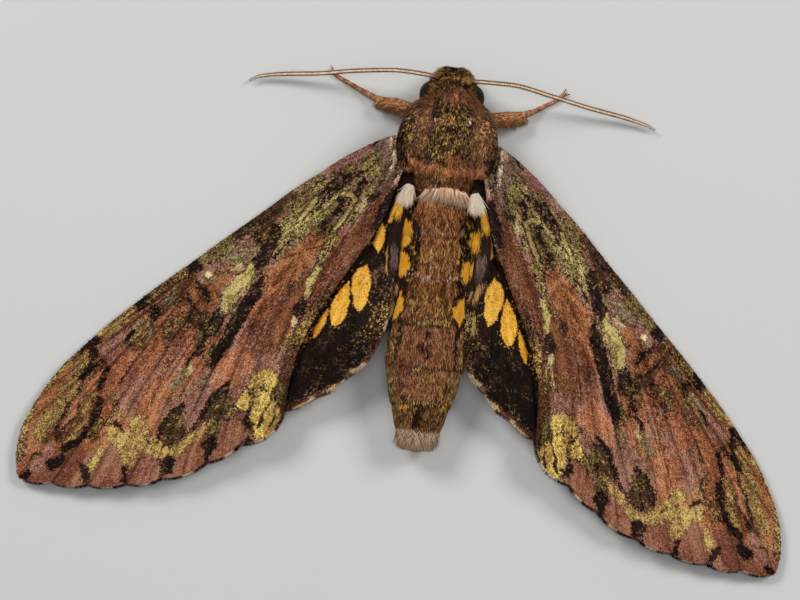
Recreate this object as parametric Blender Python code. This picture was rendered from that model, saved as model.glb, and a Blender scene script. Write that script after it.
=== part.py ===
"""A large hawk moth at rest with its wings spread and swept back, at life size.

Sizes are millimetres until finish_piece() writes metres. The moth's own frame has +X to its right, +Y to its
head and +Z up, with z = 0 on the surface that its feet stand on. Side -1 is its left and side 1 its right.
An empty carries the pieces, so that the origin lies under the middle of the whole outline.
"""

import bmesh
import bpy
import numpy as np
from mathutils import Vector
from mathutils.geometry import delaunay_2d_cdt

MM = 0.001
GAP = 0.3
SHARP_ANGLE = np.radians(20)
OUTLINE_MIDDLE = (-1.4, -21.6)
SIDES = {"left": -1, "right": 1}

# Body sections: place along Y, half width, height of the middle, half height
HEAD_SECTIONS = (
    (5.3, 3.9, 5.4, 3.5),
    (6.5, 3.5, 5.2, 3.4),
    (7.8, 3.1, 5.0, 3.1),
    (9.0, 2.6, 4.8, 2.6),
    (9.7, 1.9, 4.7, 1.9),
    (10.1, 0.8, 4.6, 0.9),
)
THORAX_SECTIONS = (
    (-6.45, 3.6, 5.6, 3.7),
    (-5.6, 4.3, 5.7, 4.2),
    (-3.6, 5.5, 5.9, 4.7),
    (-1.0, 6.5, 6.0, 4.9),
    (0.8, 6.6, 6.0, 4.9),
    (2.5, 6.0, 5.9, 4.6),
    (4.2, 5.3, 5.7, 4.1),
    (5.0, 4.6, 5.5, 3.6),
)
ABDOMEN_SECTIONS = (
    (-40.8, 1.9, 3.1, 1.2),
    (-39.8, 2.7, 3.3, 1.9),
    (-37.5, 3.6, 3.6, 2.5),
    (-35.0, 4.3, 3.9, 2.9),
    (-32.0, 5.1, 4.1, 3.3),
    (-29.0, 5.5, 4.4, 3.7),
    (-25.0, 5.3, 4.7, 4.0),
    (-10.0, 5.2, 5.2, 4.4),
    (-6.6, 4.3, 5.4, 4.1),
)
SEGMENT_ENDS = (-6.6, -12.3, -18.2, -24.4, -30.0, -35.0, -39.0, -40.8)
SEGMENT_SWELL = 0.18

# Locks of long scales: the brush at the tail, the tufts behind the wing roots and the fringe of each foreleg
LOCK_THICKNESS = 0.45
BRUSH_ROOT_Y = -39.5
BRUSH_TIP_Y = -41.6
BRUSH_REACH = (0.78, 0.93, 0.86)
BRUSH_RINGS = ((16, 1.0), (9, 0.62), (3, 0.22))
BRUSH_WIDTH = 1.1
TUFT_COUNT = 5
TUFT_WIDTH = 0.9
TUFT_INNER_PATH = ((3.1, -4.8, 8.4), (4.0, -6.7, 8.9), (4.6, -8.6, 8.8))
TUFT_OUTER_PATH = ((3.6, -4.5, 8.2), (5.0, -6.3, 9.2), (6.2, -8.3, 9.0))
FRINGE_COUNT = 8
FRINGE_WIDTH = 0.8
FRINGE_LENGTH = 1.7
FRINGE_LEAN = (0.12, -0.95, -0.2)
SPUR_LENGTH = 1.9
SPUR_RADIUS = 0.26

EYE_CENTRE = (2.4, 6.3, 4.9)
EYE_RADIUS = 2.0
EYE_INNER_PLANE = 0.8

ANTENNA_RADIUS = 0.32
ANTENNA_TIP_RADIUS = 0.2
ANTENNAE = {
    "left": (
        (-1.4, 8.5, 6.4), (-2.9, 8.7, 6.7), (-7.3, 9.0, 5.8), (-12.7, 8.6, 3.7),
        (-18.0, 7.8, 2.2), (-22.7, 7.3, 1.4), (-26.1, 6.7, 1.0), (-27.4, 6.0, 0.9),
    ),
    "right": (
        (1.4, 8.4, 6.4), (3.2, 8.5, 6.7), (7.8, 8.6, 5.8), (13.3, 7.8, 3.7),
        (18.8, 6.8, 2.2), (23.4, 6.1, 1.4), (26.5, 5.4, 1.0), (27.8, 4.9, 0.9),
    ),
}

PALP_PATH = ((1.15, 6.6, 1.3), (1.15, 8.6, 1.7), (1.1, 9.7, 2.9), (0.95, 9.75, 4.3))
PALP_RADII = (0.7, 0.85, 0.7, 0.45)
COIL_CENTRE = (0.0, 7.6, 1.35)
COIL_RADIUS = 1.0
COIL_HALF_WIDTH = 0.25

TEGULA_CENTRE = (5.0, -0.6, 8.1)
TEGULA_RADII = (2.0, 4.2, 1.9)

# Forewing, in its own flat frame: u runs from hinge to tip, v towards the rear margin
WING_LENGTH = 67.65
HINGE = (6.78, -1.36)
SWEEP_DEGREES = {"left": 43.17, "right": 39.75}
COSTA_BOW = {"left": 1.07, "right": 0.93}
COSTA = (
    (-2.5, -0.5), (0.0, -1.8), (3.2, -2.8), (6.5, -3.6), (10.0, -4.1), (14.0, -4.7), (19.0, -5.1),
    (25.0, -5.7), (31.0, -6.2), (37.5, -6.8), (46.0, -7.2), (52.0, -7.1), (58.0, -6.1), (62.0, -4.8),
    (65.4, -2.6), (WING_LENGTH, 0.0),
)
MARGIN_NOTCHES = (
    (WING_LENGTH, 0.0), (64.6, 3.6), (61.1, 7.1), (57.1, 10.4), (53.0, 13.0), (47.0, 15.4), (41.9, 16.6),
    (34.1, 16.9),
)
SCALLOPS = (0.1, 0.1, 0.09, 0.1, 0.1, 0.08, 0.18)
INNER_MARGIN = (
    (30.4, 14.0), (26.2, 11.5), (21.0, 9.8), (13.5, 8.0), (7.5, 6.4), (4.5, 5.0), (2.5, 3.9),
    (0.3, 3.0), (-2.5, 2.5),
)
FOREWING_VEINS = (
    ((1.0, -1.3), (10.0, -3.2), (20.0, -4.3), (33.0, -5.9), (45.0, -7.0)),
    ((1.0, -0.3), (15.0, -2.6), (30.0, -4.3)),
    ((22.0, -3.5), (36.0, -5.6), (51.5, -6.9)),
    ((30.0, -4.3), (44.0, -5.5), (57.7, -5.9)),
    ((30.0, -4.3), (46.0, -4.3), (62.0, -4.5)),
    ((30.0, -4.3), (48.0, -3.0), (67.3, -0.1)),
    ((30.0, -4.3), (47.0, -1.0), (64.6, 3.6)),
    ((30.6, -2.6), (46.0, 1.6), (61.1, 7.1)),
    ((30.6, 0.0), (44.0, 5.0), (57.1, 10.4)),
    ((29.0, 2.6), (41.0, 7.6), (53.0, 13.0)),
    ((25.0, 3.1), (36.5, 8.6), (47.0, 15.4)),
    ((18.0, 2.1), (30.0, 8.0), (41.9, 16.6)),
    ((1.0, 1.0), (12.0, 1.6), (18.0, 2.1), (25.0, 3.1), (29.0, 2.6)),
    ((30.0, -4.3), (30.6, -2.6), (30.6, 0.0), (29.0, 2.6)),
    ((0.8, 2.0), (12.0, 5.6), (24.0, 10.0), (36.6, 17.6)),
)

HINDWING_OUTLINE = (
    (-1.5, 2.0), (3.0, 2.4), (10.0, 3.5), (20.0, 5.0), (30.0, 7.5), (38.0, 10.4), (42.0, 13.0),
    (38.4, 15.0), (34.6, 16.8), (32.6, 17.9), (30.0, 18.4), (27.6, 19.2), (25.3, 19.1), (22.8, 19.4),
    (20.5, 18.9), (18.0, 18.0), (15.5, 16.5), (13.0, 14.5), (11.5, 12.5), (10.0, 10.4), (7.6, 8.2),
    (4.6, 6.2), (2.7, 4.8), (-0.3, 4.9),
)
HINDWING_VEINS = (
    ((1.5, 2.9), (20.0, 6.2), (41.4, 12.9)),
    ((1.5, 3.4), (9.0, 5.6), (17.0, 7.8)),
    ((17.0, 7.8), (28.0, 10.6), (38.4, 15.0)),
    ((17.5, 9.2), (26.5, 12.4), (34.6, 16.8)),
    ((16.0, 10.2), (23.5, 14.0), (30.0, 18.4)),
    ((13.0, 9.4), (19.5, 14.0), (25.3, 19.1)),
    ((1.8, 3.9), (8.0, 6.6), (13.0, 9.4), (16.0, 10.2), (17.5, 9.2)),
    ((17.0, 7.8), (17.5, 9.2)),
    ((1.6, 4.3), (9.0, 8.2), (14.5, 13.4), (20.5, 18.9)),
)
WING_THICKNESS = 0.5
VEIN_HEIGHT = 0.2
VEIN_HALF_WIDTH = 0.45
VEIN_STEP = 5.2
FILL_STEP = 5.5
MARGIN_STEP = 3.2

# Wing heights: at the front margin the wing is low, and it rises over the body like a roof
COSTA_HEIGHT = 0.5
SHOULDER_RISE = 5.0
SHOULDER_LENGTH = 8.0
ROOF_SLOPES = ((0.0, 0.40), (12.0, 0.33), (19.0, 0.235), (33.0, 0.14), (42.0, 0.10), (68.0, 0.03))
CAMBER = 0.35
CAMBER_WIDTH = 22.0
FOREWING_LIFT = 0.6
HINDWING_LIFT = -0.6

# Legs: centre lines of the right legs, hip first, with radii at the same points
CLAW_LENGTH = 0.9
CLAW_RADIUS = 0.2
FORE_LEGS = {
    "left": {
        "femur": ((2.4, 1.4, 1.5), (4.6, 4.2, 2.2)),
        "tibia": ((4.6, 4.2, 2.2), (7.0, 4.6, 2.0), (9.3, 5.0, 1.4)),
        "tarsus": ((9.3, 5.0, 1.4), (12.2, 6.2, 0.55), (13.9, 7.0, 0.25), (15.6, 7.8, 0.25), (16.4, 8.4, 0.25)),
    },
    "right": {
        "femur": ((2.4, 1.2, 1.5), (4.9, 4.0, 2.2)),
        "tibia": ((4.9, 4.0, 2.2), (7.4, 4.3, 2.0), (9.6, 4.9, 1.4)),
        "tarsus": ((9.6, 4.9, 1.4), (11.5, 5.8, 0.6), (12.7, 6.6, 0.25), (14.0, 7.4, 0.25), (15.2, 8.5, 0.25)),
    },
}
MID_LEG = {
    "femur": ((3.0, -0.6, 1.4), (7.4, -2.6, 2.8)),
    "tibia": ((7.4, -2.6, 2.8), (11.0, -7.0, 1.2)),
    "tarsus": ((11.0, -7.0, 1.2), (13.0, -9.4, 0.3), (14.2, -11.0, 0.25), (15.0, -12.2, 0.25)),
}
HIND_LEG = {
    "femur": ((2.4, -3.6, 1.5), (7.4, -7.6, 3.0)),
    "tibia": ((7.4, -7.6, 3.0), (9.4, -16.0, 1.3)),
    "tarsus": ((9.4, -16.0, 1.3), (10.2, -19.6, 0.3), (11.2, -22.6, 0.25), (11.9, -25.0, 0.25)),
}
LEG_RADII = {
    "fore": {"femur": (0.7, 0.7), "tibia": (0.85, 1.0, 0.7), "tarsus": (0.42, 0.38, 0.34, 0.32, 0.28)},
    "mid": {"femur": (0.7, 0.6), "tibia": (0.65, 0.5), "tarsus": (0.42, 0.36, 0.34, 0.28)},
    "hind": {"femur": (0.75, 0.65), "tibia": (0.7, 0.55), "tarsus": (0.42, 0.36, 0.34, 0.28)},
}

COLOURS = {
    "dark_fur": (0.030, 0.022, 0.010),
    "brown_fur": (0.075, 0.032, 0.016),
    "wing": (0.110, 0.045, 0.036),
    "hindwing": (0.020, 0.011, 0.008),
    "leg": (0.110, 0.045, 0.025),
    "eye": (0.006, 0.004, 0.003),
    "antenna": (0.520, 0.430, 0.300),
    "tongue": (0.090, 0.040, 0.020),
}


def clear_scene():
    for item in list(bpy.data.objects):
        bpy.data.objects.remove(item)


def make_materials():
    """One matt material for each colour, with the eyes glossy."""
    materials = {}
    for name, colour in COLOURS.items():
        material = bpy.data.materials.new(name)
        material.use_nodes = True
        shader = material.node_tree.nodes["Principled BSDF"]
        shader.inputs["Base Color"].default_value = (*colour, 1.0)
        shader.inputs["Roughness"].default_value = 0.25 if name == "eye" else 0.85
        shader.inputs["Metallic"].default_value = 0.0
        materials[name] = material
    return materials


def curve_through(knots, at):
    """Values of a smooth curve that passes through the knots without overshooting them."""
    place, value = np.array(knots, float).T
    at = np.clip(np.asarray(at, float), place[0], place[-1])
    step = np.diff(place)
    rise = np.diff(value) / step
    slope = np.concatenate(([rise[0]], np.zeros(len(rise) - 1), [rise[-1]]))
    both = rise[1:] * rise[:-1]
    turning = both > 0
    slope[1:-1][turning] = 2 * both[turning] / (rise[1:] + rise[:-1])[turning]
    i = np.clip(np.searchsorted(place, at) - 1, 0, len(step) - 1)
    t = (at - place[i]) / step[i]
    start = value[i] * (1 + 2 * t) * (1 - t) ** 2 + slope[i] * step[i] * t * (1 - t) ** 2
    end = value[i + 1] * t * t * (3 - 2 * t) - slope[i + 1] * step[i] * t * t * (1 - t)
    return start + end


def path_through(points, step):
    """Evenly spaced points on a smooth path through the given ones, and how far along each lies."""
    points = np.array(points, float)
    along = np.concatenate(([0.0], np.cumsum(np.linalg.norm(np.diff(points, axis=0), axis=1))))
    count = max(2, int(round(along[-1] / step)) + 1)
    at = np.linspace(0.0, along[-1], count)
    if len(points) == 2:
        smooth = [np.interp(at, along, axis) for axis in points.T]
    else:
        smooth = [curve_through(list(zip(along, axis)), at) for axis in points.T]
    return np.stack(smooth, axis=1), at, along


def rings_solid(rings):
    """Vertices and faces of a closed skin over rings of points, with a fan over each end."""
    sides = len(rings[0])
    verts = [tuple(p) for ring in rings for p in ring]
    faces = []
    for r in range(len(rings) - 1):
        for s in range(sides):
            a = r * sides + s
            b = r * sides + (s + 1) % sides
            faces.append((a, b, b + sides, a + sides))
    for ring, start in ((rings[0], 0), (rings[-1], (len(rings) - 1) * sides)):
        hub = len(verts)
        verts.append(tuple(np.mean(ring, axis=0)))
        for s in range(sides):
            faces.append((start + s, start + (s + 1) % sides, hub))
    return verts, faces


def body_solid(sections, y_from, y_to, ring_count, sides, grow=0.0, swell=0.0):
    """A length of the body between two cross planes; swell rounds a segment out towards its rear."""
    sections = np.array(sections)
    angle = np.linspace(0.0, 2 * np.pi, sides, endpoint=False)
    rings = []
    for t in np.linspace(0.0, 1.0, ring_count):
        y = y_from + (y_to - y_from) * t
        half_width, middle, half_height = (
            curve_through(sections[:, (0, column)], y) for column in (1, 2, 3)
        )
        out = grow + swell * np.sin(np.pi * t)
        x = (half_width + out) * np.cos(angle)
        z = middle + (half_height + out) * np.sin(angle)
        rings.append(np.stack([x, np.full(sides, y), z], axis=1))
    return rings_solid(rings)


def slid_to_plane(ring, heading, point, normal):
    """Slides a ring's points along the tube until they lie in a plane."""
    shift = ((point - ring) @ normal) / (heading @ normal)
    return ring + shift[:, None] * heading


def tube_solid(points, radii, sides, step, start_cut=None, end_cut=None):
    """A round tube along a smooth path. An end is cut flat by a plane with the given normal, half a gap back
    from the path's end, or else it is rounded and reaches one radius past it."""
    path, at, along = path_through(points, step)
    radius = np.interp(at, along, radii)
    heading = np.gradient(path, axis=0)
    heading /= np.linalg.norm(heading, axis=1)[:, None]
    stations = [(path[i], heading[i], radius[i]) for i in range(len(path))]
    for bulge in (0.5, 0.87):
        inset = np.sqrt(1 - bulge**2)
        if start_cut is None:
            first = path[0] - heading[0] * radius[0] * bulge
            stations = [(first, heading[0], radius[0] * inset), *stations]
        if end_cut is None:
            last = path[-1] + heading[-1] * radius[-1] * bulge
            stations = [*stations, (last, heading[-1], radius[-1] * inset)]
    side = np.cross(heading[0], (0.0, 0.0, 1.0))
    if np.linalg.norm(side) < 0.1:
        side = np.array((1.0, 0.0, 0.0))
    angle = np.linspace(0.0, 2 * np.pi, sides, endpoint=False) + np.pi / sides
    rings = []
    for centre, direction, r in stations:
        side = side - direction * (side @ direction)
        side /= np.linalg.norm(side)
        up = np.cross(side, direction)
        turn = np.outer(np.cos(angle), side) + np.outer(np.sin(angle), up)
        rings.append(centre + r * turn)
    if start_cut is not None:
        rings[0] = slid_to_plane(rings[0], heading[0], path[0] + start_cut * GAP / 2, start_cut)
    if end_cut is not None:
        rings[-1] = slid_to_plane(rings[-1], heading[-1], path[-1] - end_cut * GAP / 2, end_cut)
    return rings_solid(rings)


def lock_solid(points, width, thickness, up):
    """A flat lock of scales that bends along its path and tapers to a point."""
    path, at, along = path_through(points, along_length(points) / 3)
    taper = np.interp(at / along[-1], (0.0, 0.35, 0.7, 1.0), (0.8, 1.0, 0.75, 0.15))
    heading = np.gradient(path, axis=0)
    heading /= np.linalg.norm(heading, axis=1)[:, None]
    angle = np.linspace(0.0, 2 * np.pi, 6, endpoint=False)
    rings = []
    for centre, direction, size in zip(path, heading, taper):
        side = np.cross(direction, up)
        side /= np.linalg.norm(side)
        across = np.outer(np.cos(angle), side) * width / 2
        over = np.outer(np.sin(angle), np.cross(side, direction)) * thickness / 2
        rings.append(centre + (across + over) * size)
    return rings_solid(rings)


def along_length(points):
    return float(np.linalg.norm(np.diff(np.array(points, float), axis=0), axis=1).sum())


def ball_solid(centre, radii, around, along, axis=1):
    """An ellipsoid whose poles lie on the given axis."""
    tilt = np.linspace(0.0, np.pi, along + 1)[1:-1]
    turn = np.linspace(0.0, 2 * np.pi, around, endpoint=False)
    order = {0: (2, 0, 1), 1: (0, 2, 1), 2: (0, 1, 2)}[axis]
    rings = []
    for a in tilt:
        ring = np.stack([np.sin(a) * np.cos(turn), np.sin(a) * np.sin(turn), np.full(around, np.cos(a))], axis=1)
        rings.append(np.array(centre) + ring[:, order] * np.array(radii))
    return rings_solid(rings)


def finish_piece(name, shape, material=None, anchor=(0.0, 0.0, 0.0), carrier=None):
    """Writes a closed solid as a mesh object in metres whose origin lies at its anchor."""
    verts, faces = shape
    anchor = np.array(anchor, float)
    mesh = bpy.data.meshes.new(name)
    mesh.from_pydata([tuple((np.array(v) - anchor) * MM) for v in verts], [], faces)
    work = bmesh.new()
    work.from_mesh(mesh)
    bmesh.ops.triangulate(work, faces=work.faces[:])
    bmesh.ops.recalc_face_normals(work, faces=work.faces[:])
    work.to_mesh(mesh)
    work.free()
    mesh.shade_smooth()
    mesh.set_sharp_from_angle(angle=SHARP_ANGLE)
    piece = bpy.data.objects.new(name, mesh)
    piece.location = anchor * MM
    bpy.context.scene.collection.objects.link(piece)
    if material is not None:
        mesh.materials.append(material)
    if carrier is not None:
        piece.parent = carrier
    return piece


def keep_largest(mesh):
    """Leaves only the closed surface with the most volume."""
    work = bmesh.new()
    work.from_mesh(mesh)
    work.faces.ensure_lookup_table()
    unseen = set(work.faces)
    islands = []
    while unseen:
        stack = [unseen.pop()]
        island = []
        while stack:
            face = stack.pop()
            island.append(face)
            for edge in face.edges:
                for other in edge.link_faces:
                    if other in unseen:
                        unseen.remove(other)
                        stack.append(other)
        islands.append(island)

    def volume(island):
        total = 0.0
        for face in island:
            a, b, c = (v.co for v in face.verts[:3])
            total += a.dot(b.cross(c)) / 6
        return abs(total)

    islands.sort(key=volume)
    for island in islands[:-1]:
        bmesh.ops.delete(work, geom=island, context="FACES")
    work.to_mesh(mesh)
    work.free()


def combine(piece, others, operation):
    """Applies one Boolean with the other objects, keeps the largest closed surface and removes the others."""
    group = bpy.data.collections.new(f"{piece.name}_{operation.lower()}")
    bpy.context.scene.collection.children.link(group)
    for other in others:
        other.display_type = "WIRE"
        other.hide_render = True
        group.objects.link(other)
    modifier = piece.modifiers.new(operation.lower(), "BOOLEAN")
    modifier.operation = operation
    modifier.operand_type = "COLLECTION"
    modifier.collection = group
    bpy.context.view_layer.update()
    result = bpy.data.meshes.new_from_object(piece.evaluated_get(bpy.context.evaluated_depsgraph_get()))
    piece.modifiers.clear()
    old = piece.data
    name = old.name
    piece.data = result
    bpy.data.meshes.remove(old)
    result.name = name
    work = bmesh.new()
    work.from_mesh(result)
    bmesh.ops.triangulate(work, faces=work.faces[:])
    work.to_mesh(result)
    work.free()
    keep_largest(result)
    for other in others:
        bpy.data.objects.remove(other)
    bpy.data.collections.remove(group)


def grown_thorax(carrier):
    front = THORAX_SECTIONS[-1][0]
    rear = THORAX_SECTIONS[0][0]
    shape = body_solid(THORAX_SECTIONS, rear - GAP, front + GAP, 12, 24, grow=GAP)
    return finish_piece("thorax_clearance", shape, carrier=carrier)


def grown_head(carrier):
    shape = body_solid(HEAD_SECTIONS, HEAD_SECTIONS[0][0] - GAP, HEAD_SECTIONS[-1][0] + GAP, 9, 20, grow=GAP)
    return finish_piece("head_clearance", shape, carrier=carrier)


def grown_abdomen(carrier):
    shape = body_solid(ABDOMEN_SECTIONS, SEGMENT_ENDS[0], SEGMENT_ENDS[-2], 14, 22, grow=GAP + SEGMENT_SWELL)
    return finish_piece("abdomen_clearance", shape, carrier=carrier)


def eye_solid(side, grow):
    """A ball with its poles across the head and its inner side cut flat."""
    centre = (side * EYE_CENTRE[0], EYE_CENTRE[1], EYE_CENTRE[2])
    verts, faces = ball_solid(centre, (EYE_RADIUS + grow,) * 3, 16, 9, axis=0)
    plane = EYE_INNER_PLANE - grow
    verts = [(side * max(side * x, plane), y, z) for x, y, z in verts]
    return verts, faces


def add_head(materials, carrier):
    """The head with its eyes sunk in sockets, the feelers, the palps and the coiled tongue between them."""
    shape = body_solid(HEAD_SECTIONS, HEAD_SECTIONS[0][0], HEAD_SECTIONS[-1][0], 9, 20)
    head = finish_piece("head", shape, materials["dark_fur"], (0.0, 5.3, 5.4), carrier)
    sockets = [finish_piece("socket", eye_solid(side, GAP), carrier=carrier) for side in SIDES.values()]
    combine(head, sockets, "DIFFERENCE")
    for word, side in SIDES.items():
        eye_place = (side * EYE_CENTRE[0], EYE_CENTRE[1], EYE_CENTRE[2])
        eye = finish_piece(f"eye_{word}", eye_solid(side, 0.0), materials["eye"], eye_place, carrier)
        combine(eye, [grown_thorax(carrier)], "DIFFERENCE")
        feeler_path = ANTENNAE[word]
        radii = [ANTENNA_RADIUS] * (len(feeler_path) - 2) + [ANTENNA_TIP_RADIUS + 0.05, ANTENNA_TIP_RADIUS]
        shape = tube_solid(feeler_path, radii, 8, 1.5)
        feeler = finish_piece(f"antenna_{word}", shape, materials["antenna"], feeler_path[1], carrier)
        combine(feeler, [grown_head(carrier)], "DIFFERENCE")
        palp_path = [(side * x, y, z) for x, y, z in PALP_PATH]
        palp = finish_piece(
            f"palp_{word}", tube_solid(palp_path, PALP_RADII, 8, 0.9), materials["dark_fur"], palp_path[1], carrier
        )
        combine(palp, [grown_head(carrier)], "DIFFERENCE")
    add_tongue(materials, carrier)


def add_tongue(materials, carrier):
    """The tongue rolled up as a flat disc under the head, with a rounded rim."""
    across = np.linspace(0.0, 2 * np.pi, 16, endpoint=False)
    rings = []
    for offset, reach in ((-1.0, 0.6), (-1.0, 0.85), (-0.5, 1.0), (0.5, 1.0), (1.0, 0.85), (1.0, 0.6)):
        x = np.full(len(across), COIL_CENTRE[0] + COIL_HALF_WIDTH * offset)
        y = COIL_CENTRE[1] + COIL_RADIUS * reach * np.cos(across)
        z = COIL_CENTRE[2] + COIL_RADIUS * reach * np.sin(across)
        rings.append(np.stack([x, y, z], axis=1))
    tongue = finish_piece("proboscis", rings_solid(rings), materials["tongue"], COIL_CENTRE, carrier)
    combine(tongue, [grown_head(carrier)], "DIFFERENCE")


def add_thorax(materials, carrier):
    """The thorax, and the scale-covered lobe over each wing root."""
    front = THORAX_SECTIONS[-1][0]
    rear = THORAX_SECTIONS[0][0]
    shape = body_solid(THORAX_SECTIONS, rear, front, 12, 24)
    thorax = finish_piece("thorax", shape, materials["dark_fur"], (0.0, 0.0, 6.0), carrier)
    combine(thorax, tuft_locks(carrier), "UNION")
    for word, side in SIDES.items():
        centre = (side * TEGULA_CENTRE[0], TEGULA_CENTRE[1], TEGULA_CENTRE[2])
        shape = ball_solid(centre, TEGULA_RADII, 16, 8)
        lobe = finish_piece(f"tegula_{word}", shape, materials["brown_fur"], centre, carrier)
        below = finish_piece("wing_clearance", wing_clearance(word), carrier=carrier)
        combine(lobe, [grown_thorax(carrier), below], "DIFFERENCE")


def tuft_locks(carrier):
    """The pale tufts that reach back from the thorax behind each wing root."""
    inner = np.array(TUFT_INNER_PATH)
    outer = np.array(TUFT_OUTER_PATH)
    locks = []
    for side in SIDES.values():
        for number in range(TUFT_COUNT):
            t = number / (TUFT_COUNT - 1)
            path = inner + (outer - inner) * t
            path[-1] += (0.0, -0.5 * np.sin(np.pi * t), 0.15 * (number % 2))
            path[:, 0] *= side
            shape = lock_solid(path, TUFT_WIDTH, LOCK_THICKNESS, (side * 0.3, 0.0, 1.0))
            locks.append(finish_piece("tuft_lock", shape, carrier=carrier))
    return locks


def add_abdomen(materials, carrier):
    """Seven segments, each a little fuller than the joint behind it, the last with its blunt tip brush."""
    for number, (front, rear) in enumerate(zip(SEGMENT_ENDS[:-1], SEGMENT_ENDS[1:]), start=1):
        y_front = front - GAP / 2
        last = number == len(SEGMENT_ENDS) - 1
        y_rear = rear if last else rear + GAP / 2
        shape = body_solid(ABDOMEN_SECTIONS, y_front, y_rear, 5, 22, swell=SEGMENT_SWELL)
        anchor = (0.0, y_front, float(curve_through(np.array(ABDOMEN_SECTIONS)[:, (0, 2)], y_front)))
        segment = finish_piece(f"abdomen_{number}", shape, materials["brown_fur"], anchor, carrier)
        if last:
            combine(segment, brush_locks(carrier), "UNION")


def brush_locks(carrier):
    """The tail brush: locks round the end of the last segment, longest in the middle of the back."""
    sections = np.array(ABDOMEN_SECTIONS)
    half_width, middle, half_height = (curve_through(sections[:, (0, c)], BRUSH_ROOT_Y) for c in (1, 2, 3))
    locks = []
    spots = [(2 * np.pi * number / count, share) for count, share in BRUSH_RINGS for number in range(count)]
    for number, (angle, share) in enumerate(spots):
        out = np.array((np.cos(angle), 0.0, np.sin(angle)))
        reach = np.array((half_width * out[0], 0.0, half_height * out[2])) * share
        tip_y = BRUSH_TIP_Y + 0.2 * (number % 2) + 0.3 * abs(out[0])
        along = (BRUSH_ROOT_Y, (BRUSH_ROOT_Y + tip_y) / 2, tip_y)
        path = [np.array((0.0, y, middle)) + reach * spread for y, spread in zip(along, BRUSH_REACH)]
        shape = lock_solid(path, BRUSH_WIDTH, LOCK_THICKNESS, out)
        locks.append(finish_piece("brush_lock", shape, carrier=carrier))
    return locks


def wing_place(u, v, word):
    """A point of the flat wing frame, seen from above in the moth's frame."""
    side = SIDES[word]
    sweep = np.radians(SWEEP_DEGREES[word])
    v = np.where(np.asarray(v) < 0, np.asarray(v) * COSTA_BOW[word], v)
    x = side * (HINGE[0] + np.sin(sweep) * u - np.cos(sweep) * v)
    y = HINGE[1] - np.cos(sweep) * u - np.sin(sweep) * v
    return x, y


def roof_height(u, v):
    """Height between the two pairs of wings, which rises from the front margin towards the body."""
    from_costa = v - curve_through(COSTA[1:], u)
    shoulder = SHOULDER_RISE * np.exp(-((np.maximum(u, 0.0) / SHOULDER_LENGTH) ** 1.5))
    camber = CAMBER * np.sin(np.pi * np.clip(from_costa / CAMBER_WIDTH, 0.0, 1.0))
    return COSTA_HEIGHT + shoulder + camber + curve_through(ROOF_SLOPES, u) * from_costa


def scalloped(notches, bows):
    """The outer margin: a shallow arc between each two vein ends."""
    outline = []
    for (a, b), bow in zip(zip(notches[:-1], notches[1:]), bows):
        a = np.array(a)
        b = np.array(b)
        outward = np.array((a[1] - b[1], b[0] - a[0])) * -bow
        for t in (0.0, 0.25, 0.5, 0.75):
            outline.append(tuple(a + (b - a) * t + outward * 4 * t * (1 - t)))
    outline.append(notches[-1])
    return outline


def forewing_outline():
    front, _, _ = path_through(COSTA, MARGIN_STEP)
    rear, _, _ = path_through((MARGIN_NOTCHES[-1], *INNER_MARGIN), MARGIN_STEP)
    return [tuple(p) for p in front[:-1]] + scalloped(MARGIN_NOTCHES, SCALLOPS) + [tuple(p) for p in rear[1:]]


def inside(points, outline):
    """Which points lie within a closed outline, by counting the edges to one side of each."""
    points = np.asarray(points, float)
    a = np.array(outline, float)
    b = np.roll(a, -1, axis=0)
    crossings = np.zeros(len(points), int)
    for (ax, ay), (bx, by) in zip(a, b):
        spans = (ay > points[:, 1]) != (by > points[:, 1])
        if ay == by:
            continue
        at = ax + (points[:, 1] - ay) * (bx - ax) / (by - ay)
        crossings += spans & (points[:, 0] < at)
    return crossings % 2 == 1


def distance_to_lines(points, lines):
    """Distance from each point to the nearest of several polylines."""
    points = np.asarray(points, float)
    nearest = np.full(len(points), 1e9)
    for line in lines:
        for a, b in zip(line[:-1], line[1:]):
            a = np.array(a)
            run = np.array(b) - a
            t = np.clip((points - a) @ run / (run @ run), 0.0, 1.0)
            nearest = np.minimum(nearest, np.linalg.norm(points - a - t[:, None] * run, axis=1))
    return nearest


def vein_lines(veins, outline):
    """Centre lines of the veins, and the foot lines on both sides where the ridge meets the membrane."""
    centres = []
    feet = []
    for vein in veins:
        path, at, _ = path_through(vein, VEIN_STEP)
        centres.append(path)
        heading = np.gradient(path, axis=0)
        heading /= np.linalg.norm(heading, axis=1)[:, None]
        across = np.stack([-heading[:, 1], heading[:, 0]], axis=1) * VEIN_HALF_WIDTH
        for offset in (across, -across):
            foot = path + offset
            others = [line for line in centres if line is not path]
            clear = inside(foot, outline) & (distance_to_lines(foot, [outline + outline[:1]]) > 0.4)
            if others:
                clear &= distance_to_lines(foot, others) > VEIN_HALF_WIDTH * 0.9
            run = []
            for point, good in zip(foot, clear):
                if good:
                    run.append(point)
                if run and (not good or point is foot[-1]):
                    feet.append(np.array(run))
                    run = []
            if run:
                feet.append(np.array(run))
    return centres, [foot for foot in feet if len(foot) > 1]


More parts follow.
